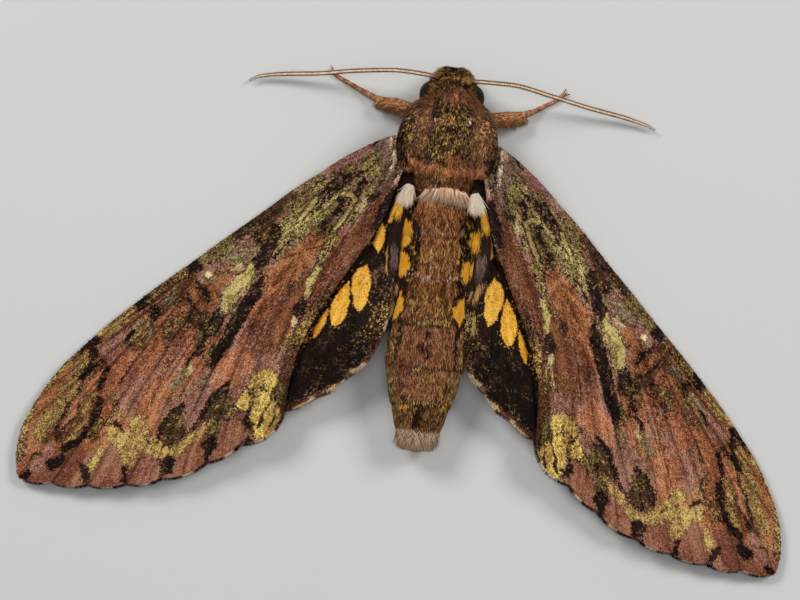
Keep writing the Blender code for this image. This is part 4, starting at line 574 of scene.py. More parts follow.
BODY_MARKS = (
    # Abdomen, from the thorax to the tail
    Patch("hind_black", ((-6.5, -6.4), (6.5, -6.4), (6.5, -26.0), (-6.5, -26.0)), 0.6),
    Patch("dorsum", (
        (-2.4, -6.0), (2.8, -6.0), (3.8, -8.6), (3.7, -9.6), (3.0, -11.0), (2.9, -14.0), (2.8, -16.4),
        (3.3, -18.2), (3.0, -21.0), (3.0, -24.6), (-3.8, -24.6), (-3.4, -20.0), (-2.9, -18.0), (-2.2, -16.0),
        (-2.4, -12.0), (-3.2, -10.4), (-3.4, -8.8),
    )),
    Patch("dorsum_rear", ((-3.2, -18.4), (3.0, -18.4), (2.8, -24.4), (-3.6, -24.4)), 0.7, 0.5, 0.85),
    Patch("flecked", ((-3.0, -20.4), (2.6, -20.4), (2.6, -24.2), (-3.4, -24.2)), 1.0, 0.5, 0.6),
    Patch("flecked", ((-2.0, -14.6), (2.6, -14.6), (2.4, -17.6), (-2.0, -17.6)), 1.0, 0.5, 0.5),
    Patch("plum", ((-6.5, -24.5), (6.5, -24.5), (6.5, -35.0), (-6.5, -35.0)), 0.35),
    Patch("flecked", ((-4.0, -25.4), (4.0, -25.4), (3.2, -34.4), (-3.2, -34.4)), 1.0, 0.5, 0.35),
    Patch("dark_end", ((-5.5, -35.0), (5.5, -35.0), (4.5, -39.4), (-4.5, -39.4)), 0.3),
    Patch("brush", ((-4.0, -39.0), (4.0, -39.0), (4.0, -43.0), (-4.0, -43.0)), 0.3),
    Patch("spot", (
        (-6.0, -11.2), (-4.5, -10.9), (-3.7, -11.6), (-3.2, -12.8), (-3.5, -13.8), (-4.4, -14.5),
        (-6.0, -14.6),
    ), 0.2, 0.1),
    Patch("spot", (
        (-6.0, -15.3), (-4.7, -15.0), (-3.7, -15.7), (-3.1, -16.9), (-3.5, -17.9), (-4.5, -18.8),
        (-5.4, -18.6),
    ), 0.2, 0.1),
    Patch("spot", (
        (-4.2, -20.5), (-3.7, -21.6), (-3.6, -22.8), (-4.5, -24.3), (-5.5, -24.3), (-4.5, -22.6),
    ), 0.2, 0.1),
    Patch("spot", (
        (6.4, -10.9), (5.6, -10.9), (4.3, -11.8), (4.1, -13.2), (4.8, -14.5), (5.6, -14.7), (6.4, -13.8),
    ), 0.2, 0.1),
    Patch("spot", (
        (6.0, -15.2), (5.0, -15.1), (3.8, -15.9), (3.5, -17.2), (4.3, -18.8), (5.0, -18.9), (5.8, -17.6),
    ), 0.2, 0.1),
    Patch("spot", (
        (4.7, -20.2), (3.9, -20.8), (2.9, -22.0), (3.0, -23.0), (4.0, -24.3), (4.8, -22.8),
    ), 0.2, 0.1),
    Stroke("pale_band", ((-2.9, -17.9), (-2.2, -18.2), (0.0, -18.3), (2.9, -18.0)), 0.22, 0.3, 0.3, 0.75),
    Stroke("pale_band", ((-2.3, -12.2), (0.0, -12.5), (2.3, -12.2)), 0.16, 0.3, 0.3, 0.4),
    Stroke("flecked", ((-2.5, -24.2), (2.5, -24.2)), 0.3),
    Stroke("black", ((-0.2, -25.6), (-0.1, -28.4)), 0.5, 0.5, 0.4, 0.8),
    # Dark lines along both sides of the rear plates: painted shade where the plates meet their side lobes.
    *both_sides(Stroke("black", ((3.9, -24.8), (4.1, -29.8)), 0.3)),
    *both_sides(Stroke("dark_band", ((3.3, -30.4), (3.2, -34.6)), 0.3)),
    *both_sides(Patch("flecked", ((6.5, -25.6), (4.4, -25.6), (4.4, -29.6), (6.5, -29.6)), 0.5, 0.4, 1.3)),
    *both_sides(Patch("olive", ((6.0, -30.4), (3.7, -30.4), (3.4, -34.6), (6.0, -34.6)), 0.5, 0.4, 0.8)),
    Stroke("dark_band", ((-5.0, -30.1), (0.0, -30.5), (5.0, -30.1)), 0.2),
    Stroke("flecked", ((-1.6, -30.4), (1.6, -30.5)), 0.2, 0.3, 0.3, 1.2),
    Stroke("flecked", ((-4.0, -34.7), (0.0, -35.1), (4.0, -34.7)), 0.3, 0.3, 0.3, 1.2),
    Stroke("spot", ((-2.6, -35.8), (-2.0, -35.8)), 0.26, 0.25, 0.2, 0.6),
    Stroke("spot", ((2.8, -35.3), (3.4, -35.2)), 0.26, 0.25, 0.2, 0.6),
    Stroke("black", ((0.0, -36.2), (0.0, -38.0)), 0.7, 0.5, 0.4, 0.8),
    # Thorax
    Patch("thorax_dusk", ((-7.8, 5.6), (7.8, 5.6), (7.8, -3.6), (-7.8, -3.6)), 0.4),
    Patch("moss", ((-7.8, 4.4), (-3.4, 4.4), (-3.4, -3.0), (-7.8, -3.0)), 0.8, 0.5, 0.8),
    Patch("moss", ((7.8, 4.4), (5.4, 4.4), (5.4, -3.0), (7.8, -3.0)), 0.8, 0.5, 0.8),
    Patch("thorax_rust", ((-4.2, 4.4), (-2.3, 4.2), (-2.2, -1.6), (-4.4, -2.4)), 0.8, 0.5, 0.9),
    Patch("thorax_rust", ((3.0, 4.0), (6.0, 4.0), (5.8, -2.2), (3.0, -1.6)), 0.8, 0.5, 0.95),
    Patch("flecked", ((-6.8, 5.0), (6.8, 5.0), (6.8, -3.4), (-6.8, -3.4)), 0.8, 0.5, 0.4),
    Patch("moss", (
        (-1.8, 5.4), (2.6, 5.4), (2.9, 2.0), (2.9, -2.0), (1.8, -3.2), (-1.6, -3.2), (-2.5, -1.4),
        (-2.0, 2.0),
    ), 0.6),
    Patch("black", ((-2.2, 4.2), (-1.4, 4.2), (-1.4, 3.0), (-2.2, 2.8)), 0.3, 0.3, 0.8),
    Patch("black", ((-0.4, 2.0), (1.4, 1.8), (1.0, 0.8), (-0.2, 0.9)), 0.4, 0.4, 0.7),
    Stroke("white", ((-1.95, 2.75), (-1.9, 2.65)), 0.08, 0.06, 0.03),
    Stroke("white", ((2.6, 2.85), (2.7, 2.6)), 0.12, 0.05, 0.03),
    # Black lines down each side of the thorax where the wing roots meet it: painted shadow of the gap there.
    Stroke("black", ((-6.9, 2.0), (-6.2, -1.2), (-5.0, -3.6)), 0.5, 0.4),
    Stroke("black", ((7.4, 1.2), (6.9, -1.5), (5.8, -3.6)), 0.5, 0.4),
    Patch("rust_band", (
        (-5.2, -2.4), (-3.0, -3.0), (0.0, -3.4), (3.4, -3.0), (5.6, -3.0), (5.4, -4.7), (-4.8, -4.4),
    ), 0.4),
    Patch("dorsum", ((0.0, -1.9), (2.0, -1.9), (2.3, -3.6), (0.2, -3.6)), 0.5, 0.4, 0.9),
    Patch("dark_band", ((-5.2, -4.6), (5.4, -4.8), (5.0, -6.4), (-5.0, -6.4)), 0.3),
    Stroke("flecked", ((-1.4, -5.0), (1.4, -5.2)), 0.3),
    Stroke("stigma", ((-1.0, -6.3), (2.2, -6.4)), 0.14, 0.2, 0.1, 0.7),
    Patch("pale_band", (
        (-2.9, -6.7), (-1.4, -6.4), (2.4, -6.5), (3.6, -7.4), (3.2, -8.0), (-2.9, -7.9),
    ), 0.4),
    # Head
    Patch("dark_band", ((-5.0, 8.0), (5.0, 8.0), (5.2, 5.0), (-5.2, 5.0)), 0.4),
    Patch("moss", ((-2.8, 7.6), (-0.6, 7.6), (-0.8, 6.2), (-3.2, 6.2)), 0.4, 0.4, 0.9),
    Patch("collar", ((-5.2, 5.4), (-2.0, 5.6), (-1.8, 4.5), (-5.2, 4.4)), 0.4),
    Patch("collar", ((5.2, 5.6), (2.2, 5.6), (2.4, 4.5), (5.2, 4.4)), 0.4),
    Patch("collar", ((-1.4, 6.2), (2.8, 6.0), (2.8, 5.2), (-1.4, 5.2)), 0.5, 0.4, 0.6),
    Stroke("tan", ((0.5, 6.2), (0.6, 5.7)), 0.14, 0.2, 0.1),
    # A black arc at the rear of the crown: painted shadow under the crown's hair.
    Stroke("black", ((-0.8, 7.8), (1.4, 7.4), (3.6, 7.3)), 0.34),
    Patch("crown", ((-3.4, 11.0), (3.6, 11.0), (3.6, 7.8), (-3.2, 7.9)), 0.4),
    Patch("flecked", ((0.8, 8.8), (2.6, 8.6), (2.4, 7.9), (0.8, 7.9)), 0.4, 0.4, 1.2),
)

# Hair shades itself, so its own colour is brighter than the coat looks: from the tail to the head
FUR_GAIN = ((-41.0, 1.55), (-9.0, 1.5), (-6.0, 1.7), (10.2, 1.7))
BRIGHTEST = 0.88

HASH_PRIMES = np.array((73856093, 19349663, 83492791), dtype=np.int64)


def curve_through(knots, at):
    """Values of a smooth curve that passes through the knots without overshooting them."""
    place, value = np.array(knots, float).T
    at = np.clip(np.asarray(at, float), place[0], place[-1])
    step = np.diff(place)
    rise = np.diff(value) / step
    slope = np.concatenate(([rise[0]], np.zeros(len(rise) - 1), [rise[-1]]))
    both = rise[1:] * rise[:-1]
    turning = both > 0
    slope[1:-1][turning] = 2 * both[turning] / (rise[1:] + rise[:-1])[turning]
    i = np.clip(np.searchsorted(place, at) - 1, 0, len(step) - 1)
    t = (at - place[i]) / step[i]
    start = value[i] * (1 + 2 * t) * (1 - t) ** 2 + slope[i] * step[i] * t * (1 - t) ** 2
    end = value[i + 1] * t * t * (3 - 2 * t) - slope[i + 1] * step[i] * t * t * (1 - t)
    return start + end


def path_through(points, step):
    """Evenly spaced points on a smooth path through the given ones, and the share of the way at each."""
    points = np.array(points, float)
    along = np.concatenate(([0.0], np.cumsum(np.linalg.norm(np.diff(points, axis=0), axis=1))))
    count = max(2, int(round(along[-1] / step)) + 1)
    at = np.linspace(0.0, along[-1], count)
    smooth = [curve_through(list(zip(along, axis)), at) for axis in points.T]
    return np.stack(smooth, axis=1), at, along


def smoothstep(low, high, value):
    """0 up to low, 1 from high on, and a soft rise between. It falls where high is the lesser."""
    t = np.clip((value - low) / (high - low), 0.0, 1.0)
    return t * t * (3 - 2 * t)


def normalised(vectors):
    """The vectors with length 1, also where one is almost nothing."""
    return vectors / np.maximum(np.linalg.norm(vectors, axis=-1, keepdims=True), 1e-9)


def random_of_cells(cells, seed):
    """A number from 0 to 1 for each row of whole numbers, always the same for the same row."""
    mixed = (cells * HASH_PRIMES[: cells.shape[-1]]).sum(axis=-1) + seed * 7919
    mixed = (mixed ^ (mixed >> 13)) * 1274126177
    mixed = (mixed ^ (mixed >> 16)) & 0xFFFFFF
    return mixed / 0xFFFFFF


def noise(points, size, seed):
    """Smooth noise from -1 to 1 with bumps of the given size along each axis."""
    place = np.asarray(points, float) / size
    base = np.floor(place).astype(np.int64)
    part = smoothstep(0.0, 1.0, place - base)
    total = np.zeros(len(place))
    for corner in itertools.product((0, 1), repeat=place.shape[-1]):
        weight = np.prod(np.where(corner, part, 1 - part), axis=-1)
        total += weight * random_of_cells(base + np.array(corner), seed)
    return 2 * total - 1


def linear(colour):
    """Linear light from 0 to 1, from sRGB values up to 255."""
    share = np.array(colour, float) / 255
    return np.where(share <= 0.04045, share / 12.92, ((share + 0.055) / 1.055) ** 2.4)


TONES = {name: linear(triple) for name, triple in PALETTE.items()}


def distance_to_line(points, line):
    """Distance from each point to a line of straight runs."""
    nearest = np.full(len(points), np.inf)
    for a, b in zip(np.array(line[:-1]), np.array(line[1:])):
        run = b - a
        t = np.clip((points - a) @ run / (run @ run), 0.0, 1.0)
        nearest = np.minimum(nearest, np.linalg.norm(points - a - t[:, None] * run, axis=1))
    return nearest


def inside(points, outline):
    """Which points lie within a closed outline, by counting the edges to one side of each."""
    crossings = np.zeros(len(points), int)
    for (ax, ay), (bx, by) in zip(outline, (*outline[1:], outline[0])):
        if ay == by:
            continue
        spans = (ay > points[:, 1]) != (by > points[:, 1])
        crossings += spans & (points[:, 0] < ax + (points[:, 1] - ay) * (bx - ax) / (by - ay))
    return crossings % 2 == 1


def distance_outside(points, mark):
    """Distance beyond a marking's edge, negative within it."""
    if isinstance(mark, Stroke):
        return distance_to_line(points, mark.line) - mark.width
    distance = distance_to_line(points, (*mark.outline, mark.outline[0]))
    return np.where(inside(points, mark.outline), -distance, distance)


def paint(places, base, marks, stretch):
    """Three tones at each flat place: the base, with the marks laid over it in order.

    The edges break up into specks, longer along the first axis by stretch.
    """
    places = np.asarray(places, float)
    tones = one_colour(base, len(places))
    grain = np.array((stretch, 1.0))
    wander = np.stack([noise(places, 1.1 * grain, 11), noise(places, 1.1 * grain, 12)], axis=1)
    wander += 0.6 * np.stack([noise(places, 0.45 * grain, 13), noise(places, 0.45 * grain, 14)], axis=1)
    single = random_of_cells(np.floor(places / 0.15).astype(np.int64), 17)
    specks = 0.5 + 0.16 * noise(places, 0.26 * grain, 15) + 0.22 * noise(places, 0.8 * grain, 16)
    specks += 0.95 * (single - 0.5)
    specks = np.clip(specks, 0.01, 0.99)
    for mark in marks:
        corners = np.array(mark.outline if isinstance(mark, Patch) else mark.line)
        width = mark.width if isinstance(mark, Stroke) else 0.0
        margin = mark.soft + 2 * mark.ragged + GROUND_BEYOND + width
        low = corners.min(axis=0) - margin
        near = np.all((places > low) & (places < corners.max(axis=0) + margin), axis=1)
        if not near.any():
            continue
        distance = distance_outside(places[near] + mark.ragged * wander[near], mark)
        ground, loose = LOOSE.get(mark.colour, (None, 1.0))
        layers = [(mark.colour, 0.0, mark.cover * loose)]
        if ground:
            layers.insert(0, (ground, GROUND_BEYOND, min(1.0, 0.9 * mark.cover)))
        for colour, beyond, cover in layers:
            share = cover * (1 - smoothstep(-mark.soft, mark.soft, distance - beyond))
            chosen = smoothstep(-0.08, 0.08, share - specks[near])[:, None, None]
            tones[near] += chosen * (TONES[colour] - tones[near])
    return tones


def brightened(tones, gain):
    """Tones raised by the gain, but not so far that the colour itself shifts."""
    peak = np.maximum(tones.max(axis=-1, keepdims=True), 1e-3)
    return tones * np.minimum(gain, np.maximum(BRIGHTEST / peak, 1.0))


def pick_tone(tones, level):
    """One colour from each place's three tones: the darkest at level -1, the palest at level 1."""
    level = np.clip(level, -1.0, 1.0)[:, None]
    low, mid, high = tones[:, 0], tones[:, 1], tones[:, 2]
    return np.where(level < 0, mid + (mid - low) * level, mid + (high - mid) * level)


def skin_colours(tones):
    """The three tones under the names that a skin's material reads."""
    return {"low": tones[:, 0], "mid": tones[:, 1], "high": tones[:, 2]}


def write_piece(
    name, verts, faces, material, colours=None, lie=None, patches=None, normals=None, replaced=()
):
    """Makes a mesh object that rides on the model.

    Colours and lie are kept at the points as attributes. Patches are places in the bake map for each point.
    Hairs are shaded by the normals given, which are mostly the skin's.
    """
    mesh = bpy.data.meshes.new(name)
    verts = (np.asarray(verts, float) + ORIGIN) * MM
    faces = np.asarray(faces, np.int32)
    mesh.vertices.add(len(verts))
    mesh.vertices.foreach_set("co", verts.ravel())
    mesh.loops.add(faces.size)
    mesh.loops.foreach_set("vertex_index", faces.ravel())
    mesh.polygons.add(len(faces))
    mesh.polygons.foreach_set("loop_start", np.arange(0, faces.size, faces.shape[1], dtype=np.int32))
    mesh.update(calc_edges=True)
    mesh.shade_smooth()
    for key, values in (colours or {}).items():
        attribute = mesh.color_attributes.new(name=key, type="FLOAT_COLOR", domain="POINT")
        opaque = np.concatenate([values, np.ones((len(values), 1))], axis=1)
        attribute.data.foreach_set("color", opaque.ravel())
    if lie is not None:
        attribute = mesh.attributes.new(name="lie", type="FLOAT_VECTOR", domain="POINT")
        attribute.data.foreach_set("vector", np.asarray(lie, float).ravel())
    if patches is not None:
        layer = mesh.uv_layers.new(name="OFBake")
        layer.data.foreach_set("uv", patches[faces.ravel()].ravel())
    if normals is not None:
        mesh.normals_split_custom_set_from_vertices(normals)
    mesh.materials.append(material)
    piece = bpy.data.objects.new(name, mesh)
    bpy.context.scene.collection.objects.link(piece)
    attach(piece, "root")
    if replaced:
        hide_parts(*replaced)
    return piece


def grid_faces(rows, columns, wrap=False):
    """Quads of a grid of points, row by row; wrap joins the last column to the first."""
    across = columns if wrap else columns - 1
    r, c = np.meshgrid(np.arange(rows - 1), np.arange(across), indexing="ij")
    a = r * columns + c
    b = r * columns + (c + 1) % columns
    return np.stack([a, b, b + columns, a + columns], axis=-1).reshape(-1, 4)


# Materials


class Nodes:
    """A material with short calls to add and link its nodes."""

    def __init__(self, name):
        self.material = bpy.data.materials.new(name)
        self.material.use_nodes = True
        self.tree = self.material.node_tree
        self.shader = self.tree.nodes["Principled BSDF"]

    def add(self, kind, settings=None, **inputs):
        """A new node; an underscore in an input's name stands for a space."""
        node = self.tree.nodes.new(kind)
        for key, value in (settings or {}).items():
            setattr(node, key, value)
        for key, value in inputs.items():
            self.feed(node.inputs[key.replace("_", " ")], value)
        return node

    def feed(self, socket, value):
        """Links a node's output to the socket, or sets the socket to a plain value."""
        if isinstance(value, bpy.types.NodeSocket):
            self.tree.links.new(value, socket)
        else:
            socket.default_value = value

    def colour_attribute(self, name):
        return self.add("ShaderNodeAttribute", {"attribute_name": name}).outputs["Color"]

    def lie(self):
        return self.add("ShaderNodeAttribute", {"attribute_name": "lie"}).outputs["Vector"]

    def stretched(self, vector, factors):
        """The vector times a factor for each axis."""
        node = self.add("ShaderNodeVectorMath", {"operation": "MULTIPLY"})
        self.feed(node.inputs[0], vector)
        node.inputs[1].default_value = factors
        return node.outputs[0]

    def ramp(self, value, start, end, low=0.0, high=1.0):
        """Low up to the start, high from the end on, and a soft change between."""
        node = self.add("ShaderNodeMapRange", {"interpolation_type": "SMOOTHSTEP"}, Value=value)
        node.inputs["From Min"].default_value = start
        node.inputs["From Max"].default_value = end
        node.inputs["To Min"].default_value = low
        node.inputs["To Max"].default_value = high
        return node.outputs["Result"]

    def blend(self, share, first, second, how="MIX"):
        """A colour between two others."""
        node = self.add("ShaderNodeMix", {"data_type": "RGBA", "blend_type": how})
        self.feed(node.inputs["Factor"], share)
        self.feed(node.inputs["A"], first)
        self.feed(node.inputs["B"], second)
        return node.outputs["Result"]

    def finish(self, colour, roughness, height=None, depth=0.00003, sheen=0.0, gloss=0.5):
        self.feed(self.shader.inputs["Base Color"], colour)
        self.feed(self.shader.inputs["Roughness"], roughness)
        self.shader.inputs["Sheen Weight"].default_value = sheen
        self.shader.inputs["Sheen Roughness"].default_value = 0.4
        self.shader.inputs["Specular IOR Level"].default_value = gloss
        if height is not None:
            bump = self.add("ShaderNodeBump", Height=height, Distance=depth, Strength=1.0)
            self.feed(self.shader.inputs["Normal"], bump.outputs["Normal"])
        return self.material


def skin_material(name, cell, sheen):
    """Overlapping scales or short hair in three tones; cell is their size along and across the lie."""
    nodes = Nodes(name)
    place = nodes.stretched(nodes.lie(), (1 / cell[0], 1 / cell[1], 1.0))
    cells = nodes.add("ShaderNodeTexVoronoi", {"voronoi_dimensions": "3D"}, Vector=place, Scale=1.0)
    value = nodes.add("ShaderNodeSeparateColor", Color=cells.outputs["Color"]).outputs["Red"]
    dark = nodes.ramp(value, 0.45, 0.1)
    pale = nodes.ramp(value, 0.6, 0.95)
    colour = nodes.blend(dark, nodes.colour_attribute("mid"), nodes.colour_attribute("low"))
    colour = nodes.blend(pale, colour, nodes.colour_attribute("high"))
    fine = nodes.add("ShaderNodeTexNoise", Vector=place, Scale=3.0, Detail=3.0)
    dirt = nodes.ramp(fine.outputs["Fac"], 0.3, 0.7, 0.0, 0.25)
    colour = nodes.blend(dirt, colour, (0.02, 0.012, 0.008, 1.0))
    roughness = nodes.ramp(fine.outputs["Fac"], 0.3, 0.7, 0.6, 0.8)
    height = nodes.ramp(cells.outputs["Distance"], 0.0, 0.9, 1.0, 0.0)
    return nodes.finish(colour, roughness, height, sheen=sheen, gloss=0.05)


def coat_material(name, sheen, gloss, roughness):
    """Hairs or scales that carry their own colour, with fine flecks and streaks along them."""
    nodes = Nodes(name)
    place = nodes.add("ShaderNodeTexCoord").outputs["Object"]
    fine = nodes.add("ShaderNodeTexNoise", Vector=place, Scale=9000.0, Detail=2.0)
    shade = nodes.ramp(fine.outputs["Fac"], 0.35, 0.65, 0.78, 1.12)
    colour = nodes.blend(1.0, nodes.colour_attribute("tint"), shade, "MULTIPLY")
    rough = nodes.ramp(fine.outputs["Fac"], 0.3, 0.7, roughness - 0.08, roughness + 0.08)
    return nodes.finish(colour, rough, fine.outputs["Fac"], 0.00001, sheen, gloss)


def eye_material():
    """A dark glossy eye covered in fine facets, with a faint brown glow painted over it in clouds."""
    nodes = Nodes("eye_facets")
    place = nodes.add("ShaderNodeTexCoord").outputs["Object"]
    facets = nodes.add("ShaderNodeTexVoronoi", Vector=place, Scale=15000.0, Randomness=0.25)
    clouds = nodes.add("ShaderNodeTexNoise", Vector=place, Scale=900.0, Detail=3.0)
    # Faint brown clouds over the black: painted sheen.
    colour = nodes.blend(
        nodes.ramp(clouds.outputs["Fac"], 0.35, 0.7), (0.006, 0.004, 0.003, 1.0), (0.022, 0.012, 0.007, 1.0)
    )
    height = nodes.ramp(facets.outputs["Distance"], 0.0, 0.8, 1.0, 0.0)
    rough = nodes.ramp(clouds.outputs["Fac"], 0.3, 0.7, 0.42, 0.5)
    return nodes.finish(colour, rough, height, 0.000006, gloss=0.08)


def horn_material():
    """Smooth dark horn with a few paler streaks."""
    nodes = Nodes("horn")
    place = nodes.add("ShaderNodeTexCoord").outputs["Object"]
    streaks = nodes.add("ShaderNodeTexNoise", Vector=place, Scale=3500.0, Detail=4.0)
    colour = nodes.blend(
        nodes.ramp(streaks.outputs["Fac"], 0.35, 0.7), (0.012, 0.006, 0.004, 1.0), (0.055, 0.024, 0.012, 1.0)
    )
    rough = nodes.ramp(streaks.outputs["Fac"], 0.3, 0.7, 0.28, 0.42)
    return nodes.finish(colour, rough, streaks.outputs["Fac"], 0.000008)


def floor_material():
    """A plain pale floor with faint clouds."""
    nodes = Nodes("pale_floor")
    place = nodes.add("ShaderNodeTexCoord").outputs["Object"]
    clouds = nodes.add("ShaderNodeTexNoise", Vector=place, Scale=12.0, Detail=2.0)
    colour = nodes.blend(clouds.outputs["Fac"], (0.60, 0.60, 0.59, 1.0), (0.63, 0.63, 0.62, 1.0))
    return nodes.finish(colour, 0.85, gloss=0.2)


def make_materials():
    """All materials of the moth by name."""
    return {
        "wing_skin": skin_material("wing_membrane", (0.24, 0.12), 0.0),
        "body_skin": skin_material("body_skin", (0.4, 0.1), 0.02),
        "scales": coat_material("wing_scales", 0.0, 0.05, 0.55),
        "fur": coat_material("fur", 0.0, 0.06, 0.65),
        "feeler": coat_material("feeler", 0.05, 0.35, 0.55),
        "eye": eye_material(),
        "horn": horn_material(),
    }


# Coats

HAIR_ROUNDNESS = 0.35
PATCH_RADIUS = 0.0015
# Of a straight hair's four points the first three are its root and the last is its tip
ROOT_POINTS = slice(0, 3)
TIP_POINT = 3
ROOT_SHADE = 0.8


class Lie(NamedTuple):
    """Where hairs or scales stand: their roots, the skin's normals and the directions that they point in."""

    root: np.ndarray
    normal: np.ndarray
    forward: np.ndarray


def jumbled(lie, spread, random):
    """The same places with the directions turned by random angles about the normals."""
    angle = random.normal(0.0, spread, len(lie.root))[:, None]
    side = np.cross(lie.forward, lie.normal)
    return Lie(lie.root, lie.normal, normalised(lie.forward * np.cos(angle) + side * np.sin(angle)))


def flat_scales(lie, length, width, tilt):
    """Overlapping scales, each a kite of two triangles with its sides a little below its middle line."""
    side = np.cross(lie.forward, lie.normal) * width[:, None] / 2
    forward = (lie.forward + lie.normal * tilt[:, None]) * length[:, None]
    middle = lie.root + forward * 0.6 - lie.normal * width[:, None] * 0.1
    verts = np.stack([lie.root, middle + side, lie.root + forward, middle - side], axis=1)
    return verts, np.array(((0, 1, 2), (0, 2, 3)))


def needles(lie, length, width, rise):
    """Straight closed hairs of four triangles."""
    side = np.cross(lie.forward, lie.normal) * width[:, None] / 2
    up = lie.normal * width[:, None] * 0.25
    tip = lie.root + (lie.forward + lie.normal * rise[:, None]) * length[:, None]
    verts = np.stack([lie.root - side - up, lie.root + side - up, lie.root + up, tip], axis=1)
    return verts, np.array(((0, 3, 1), (1, 3, 2), (2, 3, 0), (0, 1, 2)))


def one_colour(colour, count):
    """The three tones of one colour, for each of many hairs."""
    return np.repeat(TONES[colour][None], count, axis=0)


def hair_tints(tones, level, roots=1.0, tips=1.0):
    """A colour for each point of each straight hair; roots and tips darken its ends."""
    tints = np.repeat(pick_tone(tones, level)[:, None], TIP_POINT + 1, axis=1)
    tints[:, ROOT_POINTS] *= roots
    tints[:, TIP_POINT] *= tips
    return tints


def upright(forward):
    """Normals square to the directions, as near to upright as they can be."""
    return normalised(np.cross(np.cross(forward, (0.0, 0.0, 1.0)), forward))


def write_coat(name, built, tints, at, material, upward=None):
    """Joins many hairs or scales in one piece. Each takes a small patch of the bake map at its place.

    Where upward gives the skin's normals, the hairs are shaded as a rounded coat along it.
    """
    verts, shape = built
    count, corners = verts.shape[:2]
    normals = None
    if upward is not None:
        outward = normalised(verts - verts.mean(axis=1, keepdims=True))
        normals = normalised(upward[:, None, :] + HAIR_ROUNDNESS * outward).reshape(-1, 3)
    faces = (np.arange(count)[:, None, None] * corners + shape).reshape(-1, 3)
    turn = np.linspace(0.0, 2 * np.pi, corners, endpoint=False)
    spread = PATCH_RADIUS * np.stack([np.cos(turn), np.sin(turn)], axis=1)
    patches = (at[:, None, :] + spread).reshape(-1, 2)
    if tints.ndim == 2:
        tints = np.repeat(tints[:, None, :], corners, axis=1)
    return write_piece(
        name, verts.reshape(-1, 3), faces, material, {"tint": tints.reshape(-1, 3)}, patches=patches,
        normals=normals,
    )


# Body


def body_section(y):
    """Half width, height of the middle and half height of the body at places along it."""
    sections = np.array(BODY_SECTIONS)
    return tuple(curve_through(sections[:, (0, column)], y) for column in (1, 2, 3))


def body_surface(y, angle, out):
    """Points of the body's skin, moved outwards by out. The angle runs from its right side over the back."""
    half_width, middle, half_height = body_section(y)
    closing = np.sqrt(np.clip((y - BODY_REAR) / 1.2, 0.0, 1.0))
    closing *= np.sqrt(np.clip((BODY_FRONT - y) / 0.5, 0.0, 1.0))
    across = np.cos(angle)
    over = np.sin(angle)
    reach = 1 / np.sqrt((across / (half_width + out)) ** 2 + (over / (half_height + out)) ** 2)
    radius_x, radius_y, radius_z = (radius + out for radius in TEGULA_RADII)
    for side in SIDES.values():
        aside = side * TEGULA_CENTRE[0]
        above = TEGULA_CENTRE[2] - middle
        a = (across / radius_x) ** 2 + (over / radius_z) ** 2
        b = across * aside / radius_x**2 + over * above / radius_z**2
        c = (aside / radius_x) ** 2 + (above / radius_z) ** 2 + ((y - TEGULA_CENTRE[1]) / radius_y) ** 2 - 1
        inner = b**2 - a * c
        lobe = np.where(inner > 0, (b + np.sqrt(np.maximum(inner, 0.0))) / a, 0.0)
        reach = smooth_maximum(reach, lobe, 0.35)
    reach = reach * closing
    return np.stack([reach * across, y, middle + reach * over], axis=-1)


def smooth_maximum(a, b, width):
    """The greater of two values, with the crease between them rounded over the width."""
    gap = np.clip(0.5 + (a - b) / (2 * width), 0.0, 1.0)
    return a * gap + b * (1 - gap) + width * gap * (1 - gap)


def segment_swell(y):
    """The abdomen's rings stand a little proud of the joints between them."""
    ends = np.array(SEGMENT_ENDS)
    number = np.clip(np.searchsorted(-ends, -y) - 1, 0, len(ends) - 2)
    t = np.clip((ends[number] - y) / (ends[number] - ends[number + 1]), 0.0, 1.0)
    swell = 0.2 * t**0.6 * (1 - smoothstep(0.93, 1.0, t))
    return np.where(y < SEGMENT_ENDS[0], swell, 0.0)


def body_tones(points):
    """Three tones at each point of the body: its markings above, and a plain paler underside."""
    tones = paint(points[:, :2], "dorsum", BODY_MARKS, BODY_STRETCH)
    _, middle, half_height = body_section(points[:, 1])
    height = (points[:, 2] - middle) / half_height
    specks = 0.12 * noise(points, 0.4, 31)
    below = 1 - smoothstep(-0.42, -0.22, height + specks)
    tones += below[:, None, None] * (TONES["under"] - tones)
    gain = curve_through(FUR_GAIN, points[:, 1])
    return brightened(tones, gain[:, None, None])


def body_level(points, seed):
    """How pale the hair is at each point, from -1 to 1, in clumps drawn out along the body."""
    return 0.75 * noise(points, (0.5, 1.1, 0.5), seed) + 0.6 * noise(points, (0.22, 0.5, 0.22), seed + 1)


def add_body_skin(materials):
    """One closed skin from the tail to the face, with the markings that its coat carries too."""
    y = np.linspace(BODY_REAR, BODY_FRONT, int((BODY_FRONT - BODY_REAR) / SKIN_STEP))
    angle = np.linspace(0.0, 2 * np.pi, SKIN_SIDES, endpoint=False)
    rows, turns = np.meshgrid(y, angle, indexing="ij")
    rows = rows.ravel()
    turns = turns.ravel()
    points = body_surface(rows, turns, segment_swell(rows) - SKIN_INSET)
    outward = normalised(points - np.stack([0 * rows, rows, body_section(rows)[1]], axis=1) + 1e-6)
    points += outward * 0.06 * noise(points, (0.35, 0.9, 0.35), 21)[:, None]
    tones = body_tones(points)
    around = turns * 5.0
    colours = skin_colours(tones)
    lie = np.stack([rows, around, 0 * rows], axis=1)
    faces = grid_faces(len(y), SKIN_SIDES, wrap=True)[:, ::-1]
    nodes = ["head", "thorax", "tegula_left", "tegula_right", *(f"abdomen_{n}" for n in range(1, 8))]
    material = materials["body_skin"]
    write_piece("body_skin", points, faces, material, colours, lie, replaced=nodes)


